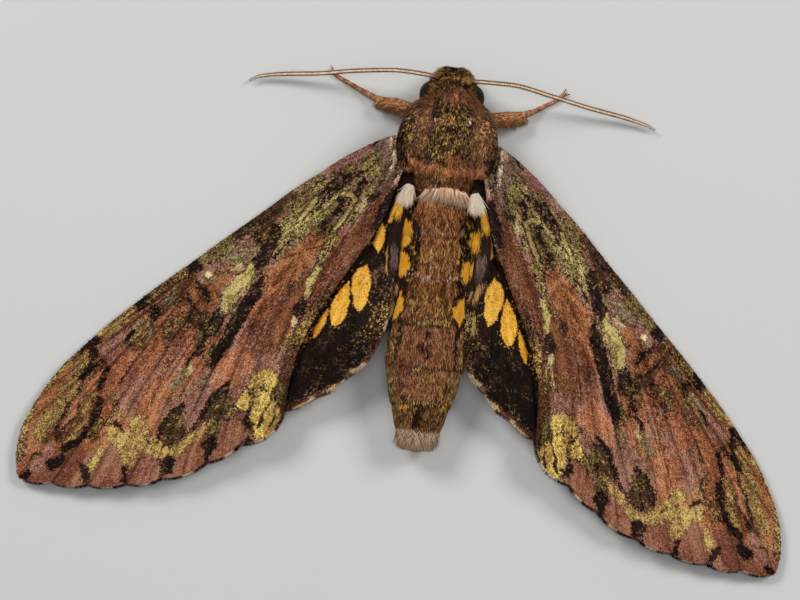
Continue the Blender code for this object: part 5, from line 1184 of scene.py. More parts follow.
def body_roots(count, y_range, angle_range, random, out=-SKIN_INSET):
    """Even random places on the skin, with normals and the direction to the tail."""
    y = random.uniform(*y_range, count * 2)
    angle = random.uniform(*angle_range, count * 2)
    half_width, _, half_height = body_section(y)
    stretch = np.hypot(half_width * np.sin(angle), half_height * np.cos(angle))
    keep = np.flatnonzero(random.uniform(0.0, stretch.max(), len(y)) < stretch)[:count]
    y = y[keep]
    angle = angle[keep]
    root = body_surface(y, angle, out + segment_swell(y))
    step = 0.05
    turn = 0.01
    ahead = body_surface(y - step, angle, out) - body_surface(y + step, angle, out)
    around = body_surface(y, angle + turn, out) - body_surface(y, angle - turn, out)
    normal = normalised(np.cross(ahead, around))
    centre = np.stack([0 * y, y, body_section(y)[1]], axis=1)
    normal *= np.sign(np.sum(normal * (root - centre), axis=1, keepdims=True))
    return Lie(root, normal, normalised(ahead)), y, angle


def clear_of_eyes(root, margin):
    """Which places lie outside both eyes by the margin."""
    keep = np.ones(len(root), bool)
    for side in SIDES.values():
        centre = np.array(EYE_CENTRE) * (side, 1, 1)
        keep &= np.linalg.norm(root - centre, axis=1) > EYE_RADIUS + margin
    return keep


def body_patch_place(y, angle):
    """A place in the bake map for the body, unrolled along its length."""
    return np.stack([(y + 43) / 56, 0.05 + np.mod(angle, 2 * np.pi) / (2 * np.pi) * 0.62], axis=1)


class Coat(NamedTuple):
    """A stretch of the body's coat; lengths, widths and rises are the least and the most."""

    name: str
    count: int
    y_range: tuple
    angle_range: tuple
    length: tuple
    width: tuple
    rise: tuple
    slot: str


BRUSH_GAIN = 2.0
TAIL_HAIRS = 12000
STRIP_HAIRS = 10000
# How much longer than elsewhere the body's hair is at places along it
HAIR_LENGTH = (
    (-41.0, 1.0), (-16.0, 1.0), (-12.0, 1.35), (-7.0, 1.6), (-6.0, 1.2), (-3.0, 1.0), (3.0, 1.0), (5.0, 1.5),
    (10.2, 1.2),
)

# The hair strips beside the abdomen: their edges and height along Y, and their colours from front to rear
STRIP_FRONT = -8.4
STRIP_REAR = -24.6
STRIP_INNER = {
    -1: ((-24.6, 4.9), (-22.5, 4.1), (-20.0, 4.3), (-17.0, 4.9), (-14.0, 5.0), (-10.0, 4.6), (-8.4, 4.5)),
    1: ((-24.6, 4.7), (-22.5, 4.5), (-20.0, 4.7), (-17.0, 4.8), (-14.0, 4.8), (-10.0, 5.0), (-8.4, 5.0)),
}
STRIP_OUTER = {
    -1: ((-24.6, 6.2), (-22.5, 5.6), (-20.0, 5.8), (-17.0, 6.3), (-14.0, 6.5), (-10.0, 5.9), (-8.4, 5.4)),
    1: ((-24.6, 6.2), (-22.5, 6.0), (-20.0, 6.1), (-17.0, 6.8), (-14.0, 7.2), (-10.0, 6.7), (-8.4, 6.2)),
}
STRIP_HEIGHT = ((-24.6, 5.4), (-20.0, 6.2), (-16.0, 6.6), (-12.0, 6.8), (-8.4, 7.0))
# Each band's colour, its rear and front ends and its share of the strip's width, from the abdomen out
STRIP_BANDS = {
    -1: (
        ("spot", -10.6, -8.0, 0.5, 1.0), ("grey_strip", -17.4, -14.4, 0.1, 0.6),
        ("flecked", -20.4, -14.6, 0.88, 1.0), ("pale_band", -20.5, -19.6, 0.0, 0.5),
        ("flecked", -20.6, -18.6, 0.7, 1.0), ("olive", -25.0, -21.8, 0.55, 1.0),
    ),
    1: (
        ("spot", -11.4, -8.0, 0.45, 1.0), ("spot", -13.9, -11.8, 0.0, 0.42),
        ("spot", -17.6, -15.6, 0.0, 0.16), ("grey_strip", -17.6, -14.6, 0.35, 0.8),
        ("pale_band", -20.4, -19.4, 0.0, 0.4),
        ("flecked", -20.8, -18.4, 0.6, 0.95), ("olive", -25.0, -22.4, 0.3, 1.0),
    ),
}

BACK = (0.0, np.pi)
BELLY = (np.pi, 2 * np.pi)
THORAX_RANGE = (THORAX_REAR - 0.3, HEAD_REAR + 0.5)
HEAD_RANGE = (HEAD_REAR - 0.4, BODY_FRONT - 0.05)
ABDOMEN_RANGE = (-39.6, THORAX_REAR)
BODY_COATS = (
    Coat("coat_thorax_back", 46000, THORAX_RANGE, BACK, (0.4, 0.7), (0.14, 0.22), (0.12, 0.4), "thorax_fur"),
    Coat(
        "coat_thorax_belly", 16000, THORAX_RANGE, BELLY, (0.9, 1.6), (0.16, 0.26), (0.1, 0.26), "thorax_fur",
    ),
    Coat(
        "coat_head", 28000, HEAD_RANGE, (0.0, 2 * np.pi), (0.45, 0.85), (0.12, 0.19), (0.25, 0.7),
        "thorax_fur",
    ),
    Coat(
        "coat_abdomen_back", 48000, ABDOMEN_RANGE, BACK, (0.4, 0.75), (0.12, 0.19), (0.05, 0.2),
        "abdomen_fur",
    ),
    Coat(
        "coat_abdomen_belly", 26000, ABDOMEN_RANGE, BELLY, (0.6, 1.1), (0.16, 0.26), (0.05, 0.16),
        "abdomen_fur",
    ),
)


def add_body_coats(materials):
    """Short hair all over the body, in the colours of the skin's markings and darker at its roots."""
    for number, coat in enumerate(BODY_COATS):
        random = np.random.default_rng(100 + number)
        lie, y, angle = body_roots(coat.count, coat.y_range, coat.angle_range, random)
        keep = clear_of_eyes(lie.root, 0.0)
        lie = jumbled(Lie(lie.root[keep], lie.normal[keep], lie.forward[keep]), 0.3, random)
        count = len(lie.root)
        length = random.uniform(*coat.length, count) * curve_through(HAIR_LENGTH, lie.root[:, 1])
        width = random.uniform(*coat.width, count)
        rise = random.uniform(*coat.rise, count)
        tip = lie.root + lie.forward * length[:, None] * 0.7
        tones = body_tones(tip)
        level = body_level(tip, 41) + random.normal(0.0, 1.1, count)
        tints = hair_tints(tones, level)
        tints[:, ROOT_POINTS] = pick_tone(tones, level - ROOT_SHADE)[:, None]
        built = needles(lie, length, width, rise)
        where = body_patch_place(y[keep], angle[keep])
        write_coat(coat.name, built, tints, where, materials["fur"], lie.normal)


# The tufts at the wing roots and the fringe at the thorax's rear: how far the hairs spread at their roots and
# tips, how many there are in each bunch, their sizes, and the shades of their roots and tips
TUFT = {
    "spread": (0.12, 0.34), "count": 130, "length": (1.2, 3.1), "width": (0.08, 0.14), "shades": (0.65, 1.0),
}
REAR_FRINGE = {
    "spread": (0.16, 0.36), "count": 110, "length": (0.6, 2.3), "width": (0.07, 0.12), "shades": (1.0, 0.55),
}


def brush(start, end, spread, count, length, width, colour, shades, random):
    """A tuft of long hairs from around one place to around another; shades are those of roots and tips."""
    jitter = random.normal(0.0, 1.0, (count, 3))
    root = np.array(start) + jitter * spread[0]
    goal = np.array(end) + jitter * spread[1]
    forward = normalised(goal - root)
    lie = jumbled(Lie(root, upright(forward), forward), 0.08, random)
    lengths = random.uniform(*length, count)
    built = needles(lie, lengths, random.uniform(*width, count), random.uniform(0.0, 0.1, count))
    tones = brightened(one_colour(colour, count), BRUSH_GAIN)
    tints = hair_tints(tones, random.normal(0.3, 0.8, count), *shades)
    at = np.stack([0.1 + 0.3 * (jitter[:, 0] / 8 + 0.5), 0.72 + 0.2 * (jitter[:, 1] / 8 + 0.5)], axis=1)
    return built, tints, at, lie.normal


def join_built(parts):
    """Several coats of the same kind of hair as one."""
    built, tints, at, normals = zip(*parts)
    verts = np.concatenate([hairs for hairs, _ in built])
    return (verts, built[0][1]), np.concatenate(tints), np.concatenate(at), np.concatenate(normals)


def add_brushes(materials):
    """The pale tufts behind the wing roots, and the fringe at the rear of the thorax between them."""
    random = np.random.default_rng(200)
    parts = []
    for side in SIDES.values():
        for t in np.linspace(0.0, 1.0, 8):
            back = 0.15 + 0.15 * side
            start = (side * (4.1 + 0.5 * t), -6.5 + 0.2 * t - back, 8.2 - 0.3 * t)
            end = (side * (4.4 + 1.3 * t), -9.2 + 0.3 * t - back, 9.1 - 0.7 * t)
            parts.append(brush(start, end, colour="white", random=random, **TUFT))
    for t in np.linspace(-1.0, 1.0, 19):
        start = (0.4 + 2.4 * t, -6.3 - 0.5 * t * t, 9.2 - 0.8 * t * t)
        end = (0.4 + 3.5 * t, -8.6 - 0.4 * t * t, 9.4 - 1.3 * t * t)
        parts.append(brush(start, end, colour="pale_band", random=random, **REAR_FRINGE))
    built, tints, at, normals = join_built(parts)
    write_coat("wing_root_tufts", built, tints, at, materials["fur"], normals)


def add_tail_brush(materials):
    """Longer hair around the tail's end, which it covers."""
    random = np.random.default_rng(300)
    lie, y, angle = body_roots(TAIL_HAIRS, (BODY_REAR + 0.01, -38.4), (0.0, 2 * np.pi), random)
    backward = smoothstep(-40.0, -40.9, y)[:, None] * (0.0, -2.5, 0.0)
    lie = jumbled(Lie(lie.root, lie.normal, normalised(lie.forward + backward)), 0.3, random)
    count = len(y)
    reach = -41.7 + 1.9 * random.uniform(0.0, 1.0, count) ** 1.5
    length = np.clip(y - reach, 0.5, 2.9)
    tones = brightened(one_colour("brush", count), BRUSH_GAIN)
    tints = hair_tints(tones, random.normal(0.0, 1.1, count), roots=0.5)
    built = needles(lie, length, random.uniform(0.1, 0.18, count), random.uniform(0.0, 0.16, count))
    where = body_patch_place(y, angle)
    write_coat("tail_brush", built, tints, where, materials["fur"], lie.normal)


def strip_colours(place, across, bands, random):
    """Colours of a hair strip beside the abdomen, by the place along it and across it."""
    tones = one_colour("hind_black", len(place))
    wobble = place + random.normal(0.0, 0.35, len(place))
    for colour, rear, front, inner, outer in bands:
        chosen = (wobble > rear) & (wobble < front) & (across >= inner) & (across <= outer)
        tones[chosen] = TONES[colour]
    return brightened(tones, BRUSH_GAIN)


def add_side_strips(materials):
    """Long hair from the inner edge of each hindwing, which lies back along the abdomen."""
    parts = []
    for side in SIDES.values():
        random = np.random.default_rng(320 + side)
        count = STRIP_HAIRS
        y = random.uniform(STRIP_REAR, STRIP_FRONT, count)
        across = random.uniform(0.0, 1.0, count)
        inner = curve_through(STRIP_INNER[side], y)
        outer = curve_through(STRIP_OUTER[side], y)
        x = inner + (outer - inner) * across
        root = np.stack([side * x, y, curve_through(STRIP_HEIGHT, y) + 0.25 * np.sin(np.pi * across)], axis=1)
        ahead = curve_through(STRIP_INNER[side], y - 0.5) - curve_through(STRIP_INNER[side], y)
        forward = normalised(np.stack([side * ahead, np.full(count, -0.5), np.full(count, -0.04)], axis=1))
        lie = jumbled(Lie(root, np.tile((0.0, 0.0, 1.0), (count, 1)), forward), 0.1, random)
        length = random.uniform(0.9, 1.7, count)
        built = needles(lie, length, random.uniform(0.1, 0.17, count), random.uniform(0.02, 0.12, count))
        tones = strip_colours(y - 0.6 * length, across, STRIP_BANDS[side], random)
        tints = hair_tints(tones, random.normal(0.0, 0.5, count), roots=0.8)
        at = np.stack([0.05 + (y + 27) / 24, 0.3 + 0.1 * side + 0.1 * across], axis=1)
        parts.append((built, tints, at, lie.normal))
    built, tints, at, normals = join_built(parts)
    write_coat("hindwing_root_hair", built, tints, at, materials["fur"], normals)


# Head parts

TUBE_END = 0.02
EYE_GRID = (48, 96)
BROW_HAIRS = 30000
FEELER_BRISTLES = 4200
PALP_HAIRS = 3600


def tube(points, radii, sides, step, squash=1.0):
    """A tube along a path, drawn in to a point at each end.

    Also gives each point's normal, its way along the path, its angle and the path's direction there.
    """
    path, at, along = path_through(points, step)
    heading = normalised(np.gradient(path, axis=0))
    path, at, heading = (np.concatenate([part[:1], part, part[-1:]]) for part in (path, at, heading))
    radius = np.interp(at, along, radii)
    radius[[0, -1]] *= TUBE_END
    side = normalised(np.cross(heading[0], (0.0, 0.0, 1.0)))
    angle = np.linspace(0.0, 2 * np.pi, sides, endpoint=False)
    rings = []
    normals = []
    for centre, direction, r in zip(path, heading, radius):
        side = normalised(side - direction * (side @ direction))
        up = np.cross(side, direction)
        turn = np.outer(np.cos(angle), side) + np.outer(np.sin(angle) * squash, up)
        rings.append(centre + r * turn)
        normals.append(turn)
    verts = np.concatenate(rings)
    faces = grid_faces(len(rings), sides, wrap=True)[:, ::-1]
    around = np.tile(angle, len(rings))
    at = np.repeat(at, sides)
    return verts, faces, np.concatenate(normals), at, around, np.repeat(heading, sides, axis=0)


def limb_patch_place(at, angle, length):
    """A place in the bake map for a limb, unrolled along its length."""
    return np.stack([0.05 + at / length, 0.2 + 0.1 * angle], axis=1)


def ring_edge(at, spacing):
    """0 in the middle of each ring of a limb, and 1 where two rings meet."""
    return np.abs(np.mod(at / spacing, 1.0) - 0.5) * 2


def add_eyes(materials):
    """Two smooth balls, half sunk in the head."""
    for word, side in SIDES.items():
        tilt = np.linspace(0.01, np.pi - 0.01, EYE_GRID[0])
        turn = np.linspace(0.0, 2 * np.pi, EYE_GRID[1], endpoint=False)
        t, a = (grid.ravel() for grid in np.meshgrid(tilt, turn, indexing="ij"))
        ball = np.stack([np.cos(t), np.sin(t) * np.cos(a), np.sin(t) * np.sin(a)], axis=1)
        verts = np.array(EYE_CENTRE) * (side, 1, 1) + ball * EYE_RADIUS
        faces = grid_faces(len(tilt), len(turn), wrap=True)[:, ::-1]
        write_piece(f"eyeball_{word}", verts, faces, materials["eye"], replaced=[f"eye_{word}"])


def add_brows(materials):
    """Hair of the head that leans out over the inner side of each eye."""
    random = np.random.default_rng(350)
    lie, y, angle = body_roots(BROW_HAIRS, (EYE_CENTRE[1] - 2.2, EYE_CENTRE[1] + 1.8), BACK, random)
    sides = np.stack([np.sign(lie.root[:, 0]), np.ones(len(y)), np.ones(len(y))], axis=1)
    apart = lie.root - sides * EYE_CENTRE
    reach = np.linalg.norm(apart, axis=1)
    keep = (reach > EYE_RADIUS - 0.1) & (reach < EYE_RADIUS + 0.55) & (apart[:, 2] > 0.2)
    root = lie.root[keep]
    out = apart[keep] / reach[keep, None]
    outward = np.sign(root[:, :1]) * np.array((0.75, 0.0, 0.0)) + np.array((0.0, -0.5, 0.1))
    forward = normalised(outward - out * np.sum(outward * out, axis=1, keepdims=True) + 0.35 * out)
    lie = jumbled(Lie(root, out, forward), 0.35, random)
    count = len(root)
    tones = body_tones(root + (0.0, -0.2, 0.0))
    tints = hair_tints(tones, random.normal(0.0, 0.8, count), roots=0.5)
    length = random.uniform(0.5, 1.0, count)
    width = random.uniform(0.1, 0.16, count)
    built = needles(lie, length, width, random.uniform(0.0, 0.3, count))
    where = body_patch_place(y[keep], angle[keep])
    write_coat("brows", built, tints, where, materials["fur"], lie.normal)


def add_antennae(materials):
    """Feelers of many short rings, pale above and rusty along the front, with painted shade darkening their
    lower side, and fine bristles below.
    """
    for word, side in SIDES.items():
        path = ANTENNAE[word]
        radii = [ANTENNA_RADIUS] * (len(path) - 2) + [ANTENNA_TIP_RADIUS + 0.04, ANTENNA_TIP_RADIUS * 0.5]
        verts, faces, normals, at, angle, heading = tube(path, radii, 16, 0.09, squash=0.9)
        ring = ring_edge(at, ANTENNA_RING)
        verts = verts - normals * (0.05 * ring[:, None] ** 3)
        front = np.maximum(smoothstep(0.1, 0.4, normals[:, 1]), smoothstep(-0.45, -0.75, normals[:, 1]))
        front = np.maximum(front, smoothstep(2.4, 1.0, at))
        tones = TONES["feeler_cream"] + front[:, None, None] * (TONES["feeler_rust"] - TONES["feeler_cream"])
        # The lower side is darkened to half its colour: painted shade.
        tones *= smoothstep(-0.9, 0.3, normals[:, 2])[:, None, None] * 0.5 + 0.5
        tint = pick_tone(tones, 0.9 * noise(verts, 0.25, 61) - 0.8 * ring**4)
        write_piece(
            f"feeler_{word}", verts, faces, materials["feeler"], {"tint": tint},
            replaced=[f"antenna_{word}"],
        )
        random = np.random.default_rng(400 + side)
        chosen = random.choice(len(verts), 9000)
        below = normals[chosen, 2] < -0.1
        chosen = chosen[below][:FEELER_BRISTLES]
        forward = normalised(normals[chosen] * 0.9 + heading[chosen] * 0.5)
        across = normalised(np.cross(forward, heading[chosen]))
        lie = Lie(verts[chosen], across, forward)
        count = len(chosen)
        built = needles(lie, random.uniform(0.14, 0.24, count), np.full(count, 0.03), np.zeros(count))
        tints = pick_tone(one_colour("feeler_rust", count), random.normal(0.2, 0.4, count))
        where = limb_patch_place(at[chosen], angle[chosen], 32)
        write_coat(f"feeler_bristles_{word}", built, tints, where, materials["feeler"])


def add_palps(materials):
    """The short scaly palps below the face, with the rolled tongue between them."""
    for word, side in SIDES.items():
        path = [(side * x, y, z) for x, y, z in PALP_PATH]
        verts, faces, normals, at, angle, heading = tube(path, PALP_RADII, 24, 0.15)
        pale = smoothstep(0.2, -0.6, normals[:, 2])
        tones = TONES["collar"] + pale[:, None, None] * (TONES["under"] - TONES["collar"])
        tones = brightened(tones, LEG_GAIN)
        lie_map = np.stack([at, angle * 0.7, 0 * at], axis=1)
        write_piece(
            f"palp_skin_{word}", verts, faces, materials["body_skin"], skin_colours(tones),
            lie_map, replaced=[f"palp_{word}"],
        )
        random = np.random.default_rng(500 + side)
        chosen = random.choice(len(verts), PALP_HAIRS)
        lie = jumbled(Lie(verts[chosen], normalised(normals[chosen]), heading[chosen]), 0.3, random)
        count = len(chosen)
        length = random.uniform(0.3, 0.6, count)
        width = random.uniform(0.08, 0.13, count)
        built = needles(lie, length, width, random.uniform(0.15, 0.4, count))
        tints = pick_tone(tones[chosen], random.normal(0.0, 0.6, count))
        where = limb_patch_place(at[chosen], angle[chosen], 10)
        write_coat(f"palp_coat_{word}", built, tints, where, materials["fur"], lie.normal)


def add_tongue(materials):
    """The tongue, rolled up in rings like a watch spring."""
    turn = np.linspace(0.0, 2 * np.pi * COIL_TURNS, 120)
    reach = np.linspace(*COIL_REACH, len(turn))
    points = np.stack(
        [0 * turn, COIL_CENTRE[1] + reach * np.cos(turn), COIL_CENTRE[2] + reach * np.sin(turn)], axis=1
    )
    radii = np.linspace(COIL_TUBE * 0.7, COIL_TUBE, len(turn))
    verts, faces, normals, at, _, _ = tube(points, radii, 14, 0.07)
    ring = ring_edge(at, COIL_RING)
    verts = verts - normals * (0.015 * ring[:, None] ** 2)
    tint = pick_tone(one_colour("leg", len(verts)), -0.6 - 0.6 * ring)
    colours = {"tint": tint}
    write_piece("tongue_coil", verts, faces, materials["feeler"], colours, replaced=["proboscis"])


# Wings


def wing_place(u, v, word):
    """A point of the flat wing frame, seen from above in the moth's frame."""
    side = SIDES[word]
    sweep = np.radians(SWEEP_DEGREES[word])
    v = np.where(np.asarray(v) < 0, np.asarray(v) * COSTA_BOW[word], v)
    x = side * (HINGE[0] + np.sin(sweep) * u - np.cos(sweep) * v)
    y = HINGE[1] - np.cos(sweep) * u - np.sin(sweep) * v
    return x, y


def roof_height(u, v):
    """Height between the two pairs of wings, which rises from the front margin towards the body."""
    from_costa = v - curve_through(COSTA[1:], u)
    shoulder = SHOULDER_RISE * np.exp(-((np.maximum(u, 0.0) / SHOULDER_LENGTH) ** 1.5))
    camber = CAMBER * np.sin(np.pi * np.clip(from_costa / CAMBER_WIDTH, 0.0, 1.0))
    return COSTA_HEIGHT + shoulder + camber + curve_through(ROOF_SLOPES, u) * from_costa


def scalloped(notches, bows):
    """The outer margin: a shallow arc between each two vein ends."""
    outline = []
    for (a, b), bow in zip(zip(notches[:-1], notches[1:]), bows):
        a = np.array(a)
        b = np.array(b)
        outward = np.array((a[1] - b[1], b[0] - a[0])) * -bow
        for t in np.arange(0.0, 1.0, 0.1):
            outline.append(tuple(a + (b - a) * t + outward * 4 * t * (1 - t)))
    outline.append(notches[-1])
    return outline


class WingPlan(NamedTuple):
    """A wing's two edges in its flat frame, its veins and how high it lies over the roof."""

    front: np.ndarray
    rear: np.ndarray
    veins: tuple
    lift: float


def rising(points):
    """The points of an edge with u rising all the way, as a smooth curve needs."""
    points = np.array(sorted(points))
    keep = np.concatenate(([True], np.diff(points[:, 0]) > 1e-3))
    return points[keep]


def forewing_plan():
    """The forewing: its scalloped margin and its inner margin make up the rear edge."""
    margin = scalloped(MARGIN_NOTCHES, SCALLOPS)
    inner, _, _ = path_through((MARGIN_NOTCHES[-1], *INNER_MARGIN), 1.0)
    rear = rising([*margin, *(tuple(p) for p in inner[1:])])
    return WingPlan(rising(COSTA), rear, FOREWING_VEINS, FOREWING_LIFT)


def hindwing_plan():
    """The hindwing, which lies below the roof that the forewing lies above."""
    return WingPlan(rising(HINDWING_FRONT), rising(HINDWING_REAR), HINDWING_VEINS, HINDWING_LIFT)


def wing_patch_place(u, v):
    """A place in the bake map for a wing, which is kept whole and to one scale."""
    return np.stack([(u + 3) / 72, (v + 9) / 72], axis=1)


def wing_edges(plan, u):
    """The v of the front and of the rear edge at places along the wing."""
    return curve_through(plan.front, u), curve_through(plan.rear, u)


def wing_relief(plan, u, v):
    """How far the upper face stands over the middle sheet: veins as ridges, fine pleats between them."""
    flat = np.stack([u, v], axis=1)
    nearest = np.full(len(u), np.inf)
    for vein in plan.veins:
        path, _, _ = path_through(vein, 2.0)
        nearest = np.minimum(nearest, distance_to_line(flat, path))
    ridge = VEIN_HEIGHT * (1 - smoothstep(0.0, VEIN_HALF_WIDTH, nearest))
    pleat = 0.05 * smoothstep(0.4, 1.4, nearest) + 0.04 * noise(flat, (3.5, 1.1), 71)
    return ridge - pleat


def wing_thickness(plan, u, v):
    """Half the wing's thickness, which thins out towards all edges."""
    front, rear = wing_edges(plan, u)
    from_edge = np.minimum(v - front, rear - v)
    grow = smoothstep(0.0, WING_EDGE_WIDTH, from_edge)
    return WING_EDGE_THICKNESS + (WING_HALF_THICKNESS - WING_EDGE_THICKNESS) * grow


def wing_point(plan, u, v, word, over):
    """A point on the wing's upper face (over 1), lower face (over -1) or anywhere between."""
    x, y = wing_place(u, v, word)
    thickness = wing_thickness(plan, u, v)
    relief = wing_relief(plan, u, v) * (thickness / WING_HALF_THICKNESS)
    z = roof_height(u, v) + plan.lift + thickness * over + relief * np.where(over > 0, 1.0, 0.4)
    return np.stack([x, y, z], axis=-1)


def marking_place(u, v, word):
    """Where a place on either forewing lies in the map of markings, which is the left wing's."""
    if word == "left":
        return np.stack([u, v], axis=1)
    slide = curve_through(RIGHT_SLIDE, u) * smoothstep(-4.0, 0.0, v)
    return np.stack([u - curve_through(RIGHT_SHIFT, u), v - slide], axis=1)


def wing_tones(kind, u, v, word):
    """Three tones at each place of a wing's upper face, with the forewing's outer veins darkened."""
    if kind == "forewing":
        places = marking_place(u, v, word)
        tones = paint(places, "purple", FOREWING_MARKS, WING_STRETCH)
        veins = FOREWING_VEINS
    else:
        places = np.stack([u, v], axis=1)
        tones = paint(places, "hind_black", HINDWING_MARKS, WING_STRETCH)
        veins = ()
    for vein in veins:
        path, _, _ = path_through(vein, 2.0)
        dark = 0.42 * (1 - smoothstep(0.05, 0.22, distance_to_line(places, path)))
        dark *= smoothstep(30.0, 33.0, places[:, 0])
        tones *= 1 - dark[:, None, None]
    return tones


def under_tones(u, v):
    """Three tones at each place of a wing's lower face."""
    return paint(np.stack([u, v], axis=1), "under_wing", UNDER_MARKS, WING_STRETCH)


def along_veins(u, v, veins):
    """A measure across the wing that keeps its value along each vein, and blends between them."""
    flat = np.stack([u, v], axis=1)
    total = np.zeros(len(u))
    weights = np.zeros(len(u))
    for vein in veins:
        path, _, _ = path_through(vein, 3.0)
        weight = 1 / (distance_to_line(flat, path) ** 2 + 0.05) ** 1.5
        total += weight * np.interp(LABEL_PLACE, path[:, 0], path[:, 1])
        weights += weight
    return total / weights


def wing_level(kind, u, v):
    """How pale the scales are, from -1 to 1, in streaks drawn out along the veins."""
    veins = FOREWING_VEINS if kind == "forewing" else HINDWING_VEINS
    across = along_veins(u, v, veins)
    lines = np.stack([u, across], axis=1)
    streaks = 1.1 * noise(lines, (9.0, 0.9), 81) + 1.2 * noise(lines, (3.5, 0.38), 82)
    flat = np.stack([u, v], axis=1)
    return streaks + 0.6 * noise(flat, (0.6, 0.3), 83)


def add_wing_skin(kind, plan, word, materials):
    """Both faces of a wing as one closed sheet on a grid from the front edge to the rear edge."""
    start, end = plan.front[0, 0], plan.front[-1, 0] - 0.15
    columns = int((end - start) / WING_GRID_STEP)
    u = start + (end - start) * (1 - (1 - np.linspace(0.0, 1.0, columns)) ** 1.06)
    widest = max(r - f for f, r in zip(*wing_edges(plan, u)))
    rows = int(widest / WING_GRID_STEP)
    share = np.linspace(0.0, 1.0, rows)
    us, shares = (grid.ravel() for grid in np.meshgrid(u, share, indexing="ij"))
    front, rear = wing_edges(plan, us)
    inset = np.minimum(FRINGE_INSET, (rear - front) * 0.3)
    vs = front + COSTA_INSET + (rear - inset - front - COSTA_INSET) * shares
    top = wing_point(plan, us, vs, word, 1.0)
    bottom = wing_point(plan, us, vs, word, -1.0)
    verts = np.concatenate([top, bottom])
    upper = grid_faces(columns, rows)
    count = columns * rows
    rim = rim_faces(columns, rows, count)
    faces = np.concatenate([upper, upper[:, ::-1] + count, rim])
    if SIDES[word] < 0:
        faces = faces[:, ::-1]
    tones = np.concatenate([wing_tones(kind, us, vs, word), under_tones(us, vs)])
    colours = skin_colours(tones)
    lie = np.stack([np.tile(us, 2), np.tile(vs, 2), np.repeat((0.0, 9.0), count)], axis=1)
    write_piece(
        f"{kind}_skin_{word}", verts, faces, materials["wing_skin"], colours, lie,
        replaced=[f"{kind}_{word}"],
    )


def rim_faces(columns, rows, count):
    """Quads that join the edge of the upper face to that of the lower one."""
    first = np.arange(columns) * rows
    last = first + rows - 1
    far_end = np.arange(first[-1] + 1, last[-1] + 1)
    loop = np.concatenate([first, far_end, last[-2::-1], np.arange(rows - 2, 0, -1)])
    after = np.roll(loop, -1)
    return np.stack([after, loop, loop + count, after + count], axis=1)


# Scales: their spacing along and across each wing, how far they stray from it, and their least and most sizes
SCALE_SPACING = {"forewing": (0.118, 0.094), "hindwing": (0.115, 0.092)}
SCALE_STRAY = 0.45
SCALE_LENGTH = (0.22, 0.34)
SCALE_WIDTH = (0.12, 0.18)
SCALE_TILT = (0.1, 0.3)


def add_wing_scales(kind, plan, word, materials, v_from=None):
    """Overlapping scales on a wing's upper face, in offset rows, pointing out along the wing."""
    side = SIDES[word]
    random = np.random.default_rng(600 + side + (0 if kind == "forewing" else 10))
    spacing = SCALE_SPACING[kind]
    start, end = plan.front[0, 0] + 0.6, plan.front[-1, 0] - 0.35
    front_low, rear_high = plan.front[:, 1].min(), plan.rear[:, 1].max()
    u = np.arange(start, end, spacing[0])
    v = np.arange(front_low, rear_high, spacing[1])
    us, vs = np.meshgrid(u, v, indexing="ij")
    us = us + spacing[0] * 0.5 * (np.arange(len(v)) % 2)
    us = (us + random.uniform(-SCALE_STRAY, SCALE_STRAY, us.shape) * spacing[0]).ravel()
    vs = (vs + random.uniform(-SCALE_STRAY, SCALE_STRAY, vs.shape) * spacing[1]).ravel()
    front, rear = wing_edges(plan, us)
    bare = FRINGE_INSET * (0.7 + 0.8 * smoothstep(32.0, 40.0, us))
    keep = (vs > front + 0.02) & (vs < rear - bare) & (us < end)
    if v_from is not None:
        keep &= vs > v_from(us)
    us = us[keep]
    vs = vs[keep]
    root = wing_point(plan, us, vs, word, 1.0)
    reach = 0.3
    ahead = wing_point(plan, us + reach, vs + reach * 0.12, word, 1.0) - root
    across = wing_point(plan, us, vs + reach, word, 1.0) - root
    normal = normalised(np.cross(across, ahead) * side)
    normal *= np.sign(normal[:, 2:3])
    lie = jumbled(Lie(root - normal * 0.02, normal, normalised(ahead)), 0.22, random)
    count = len(us)
    length = random.uniform(*SCALE_LENGTH, count)
    width = random.uniform(*SCALE_WIDTH, count)
    built = flat_scales(lie, length, width, random.uniform(*SCALE_TILT, count))
    tones = wing_tones(kind, us + 0.12, vs, word)
    level = wing_level(kind, us, vs) + random.normal(0.0, 0.8, count)
    tints = pick_tone(tones, level)
    at = wing_patch_place(us, vs)
    write_coat(f"{kind}_scales_{word}", built, tints, at, materials["scales"])


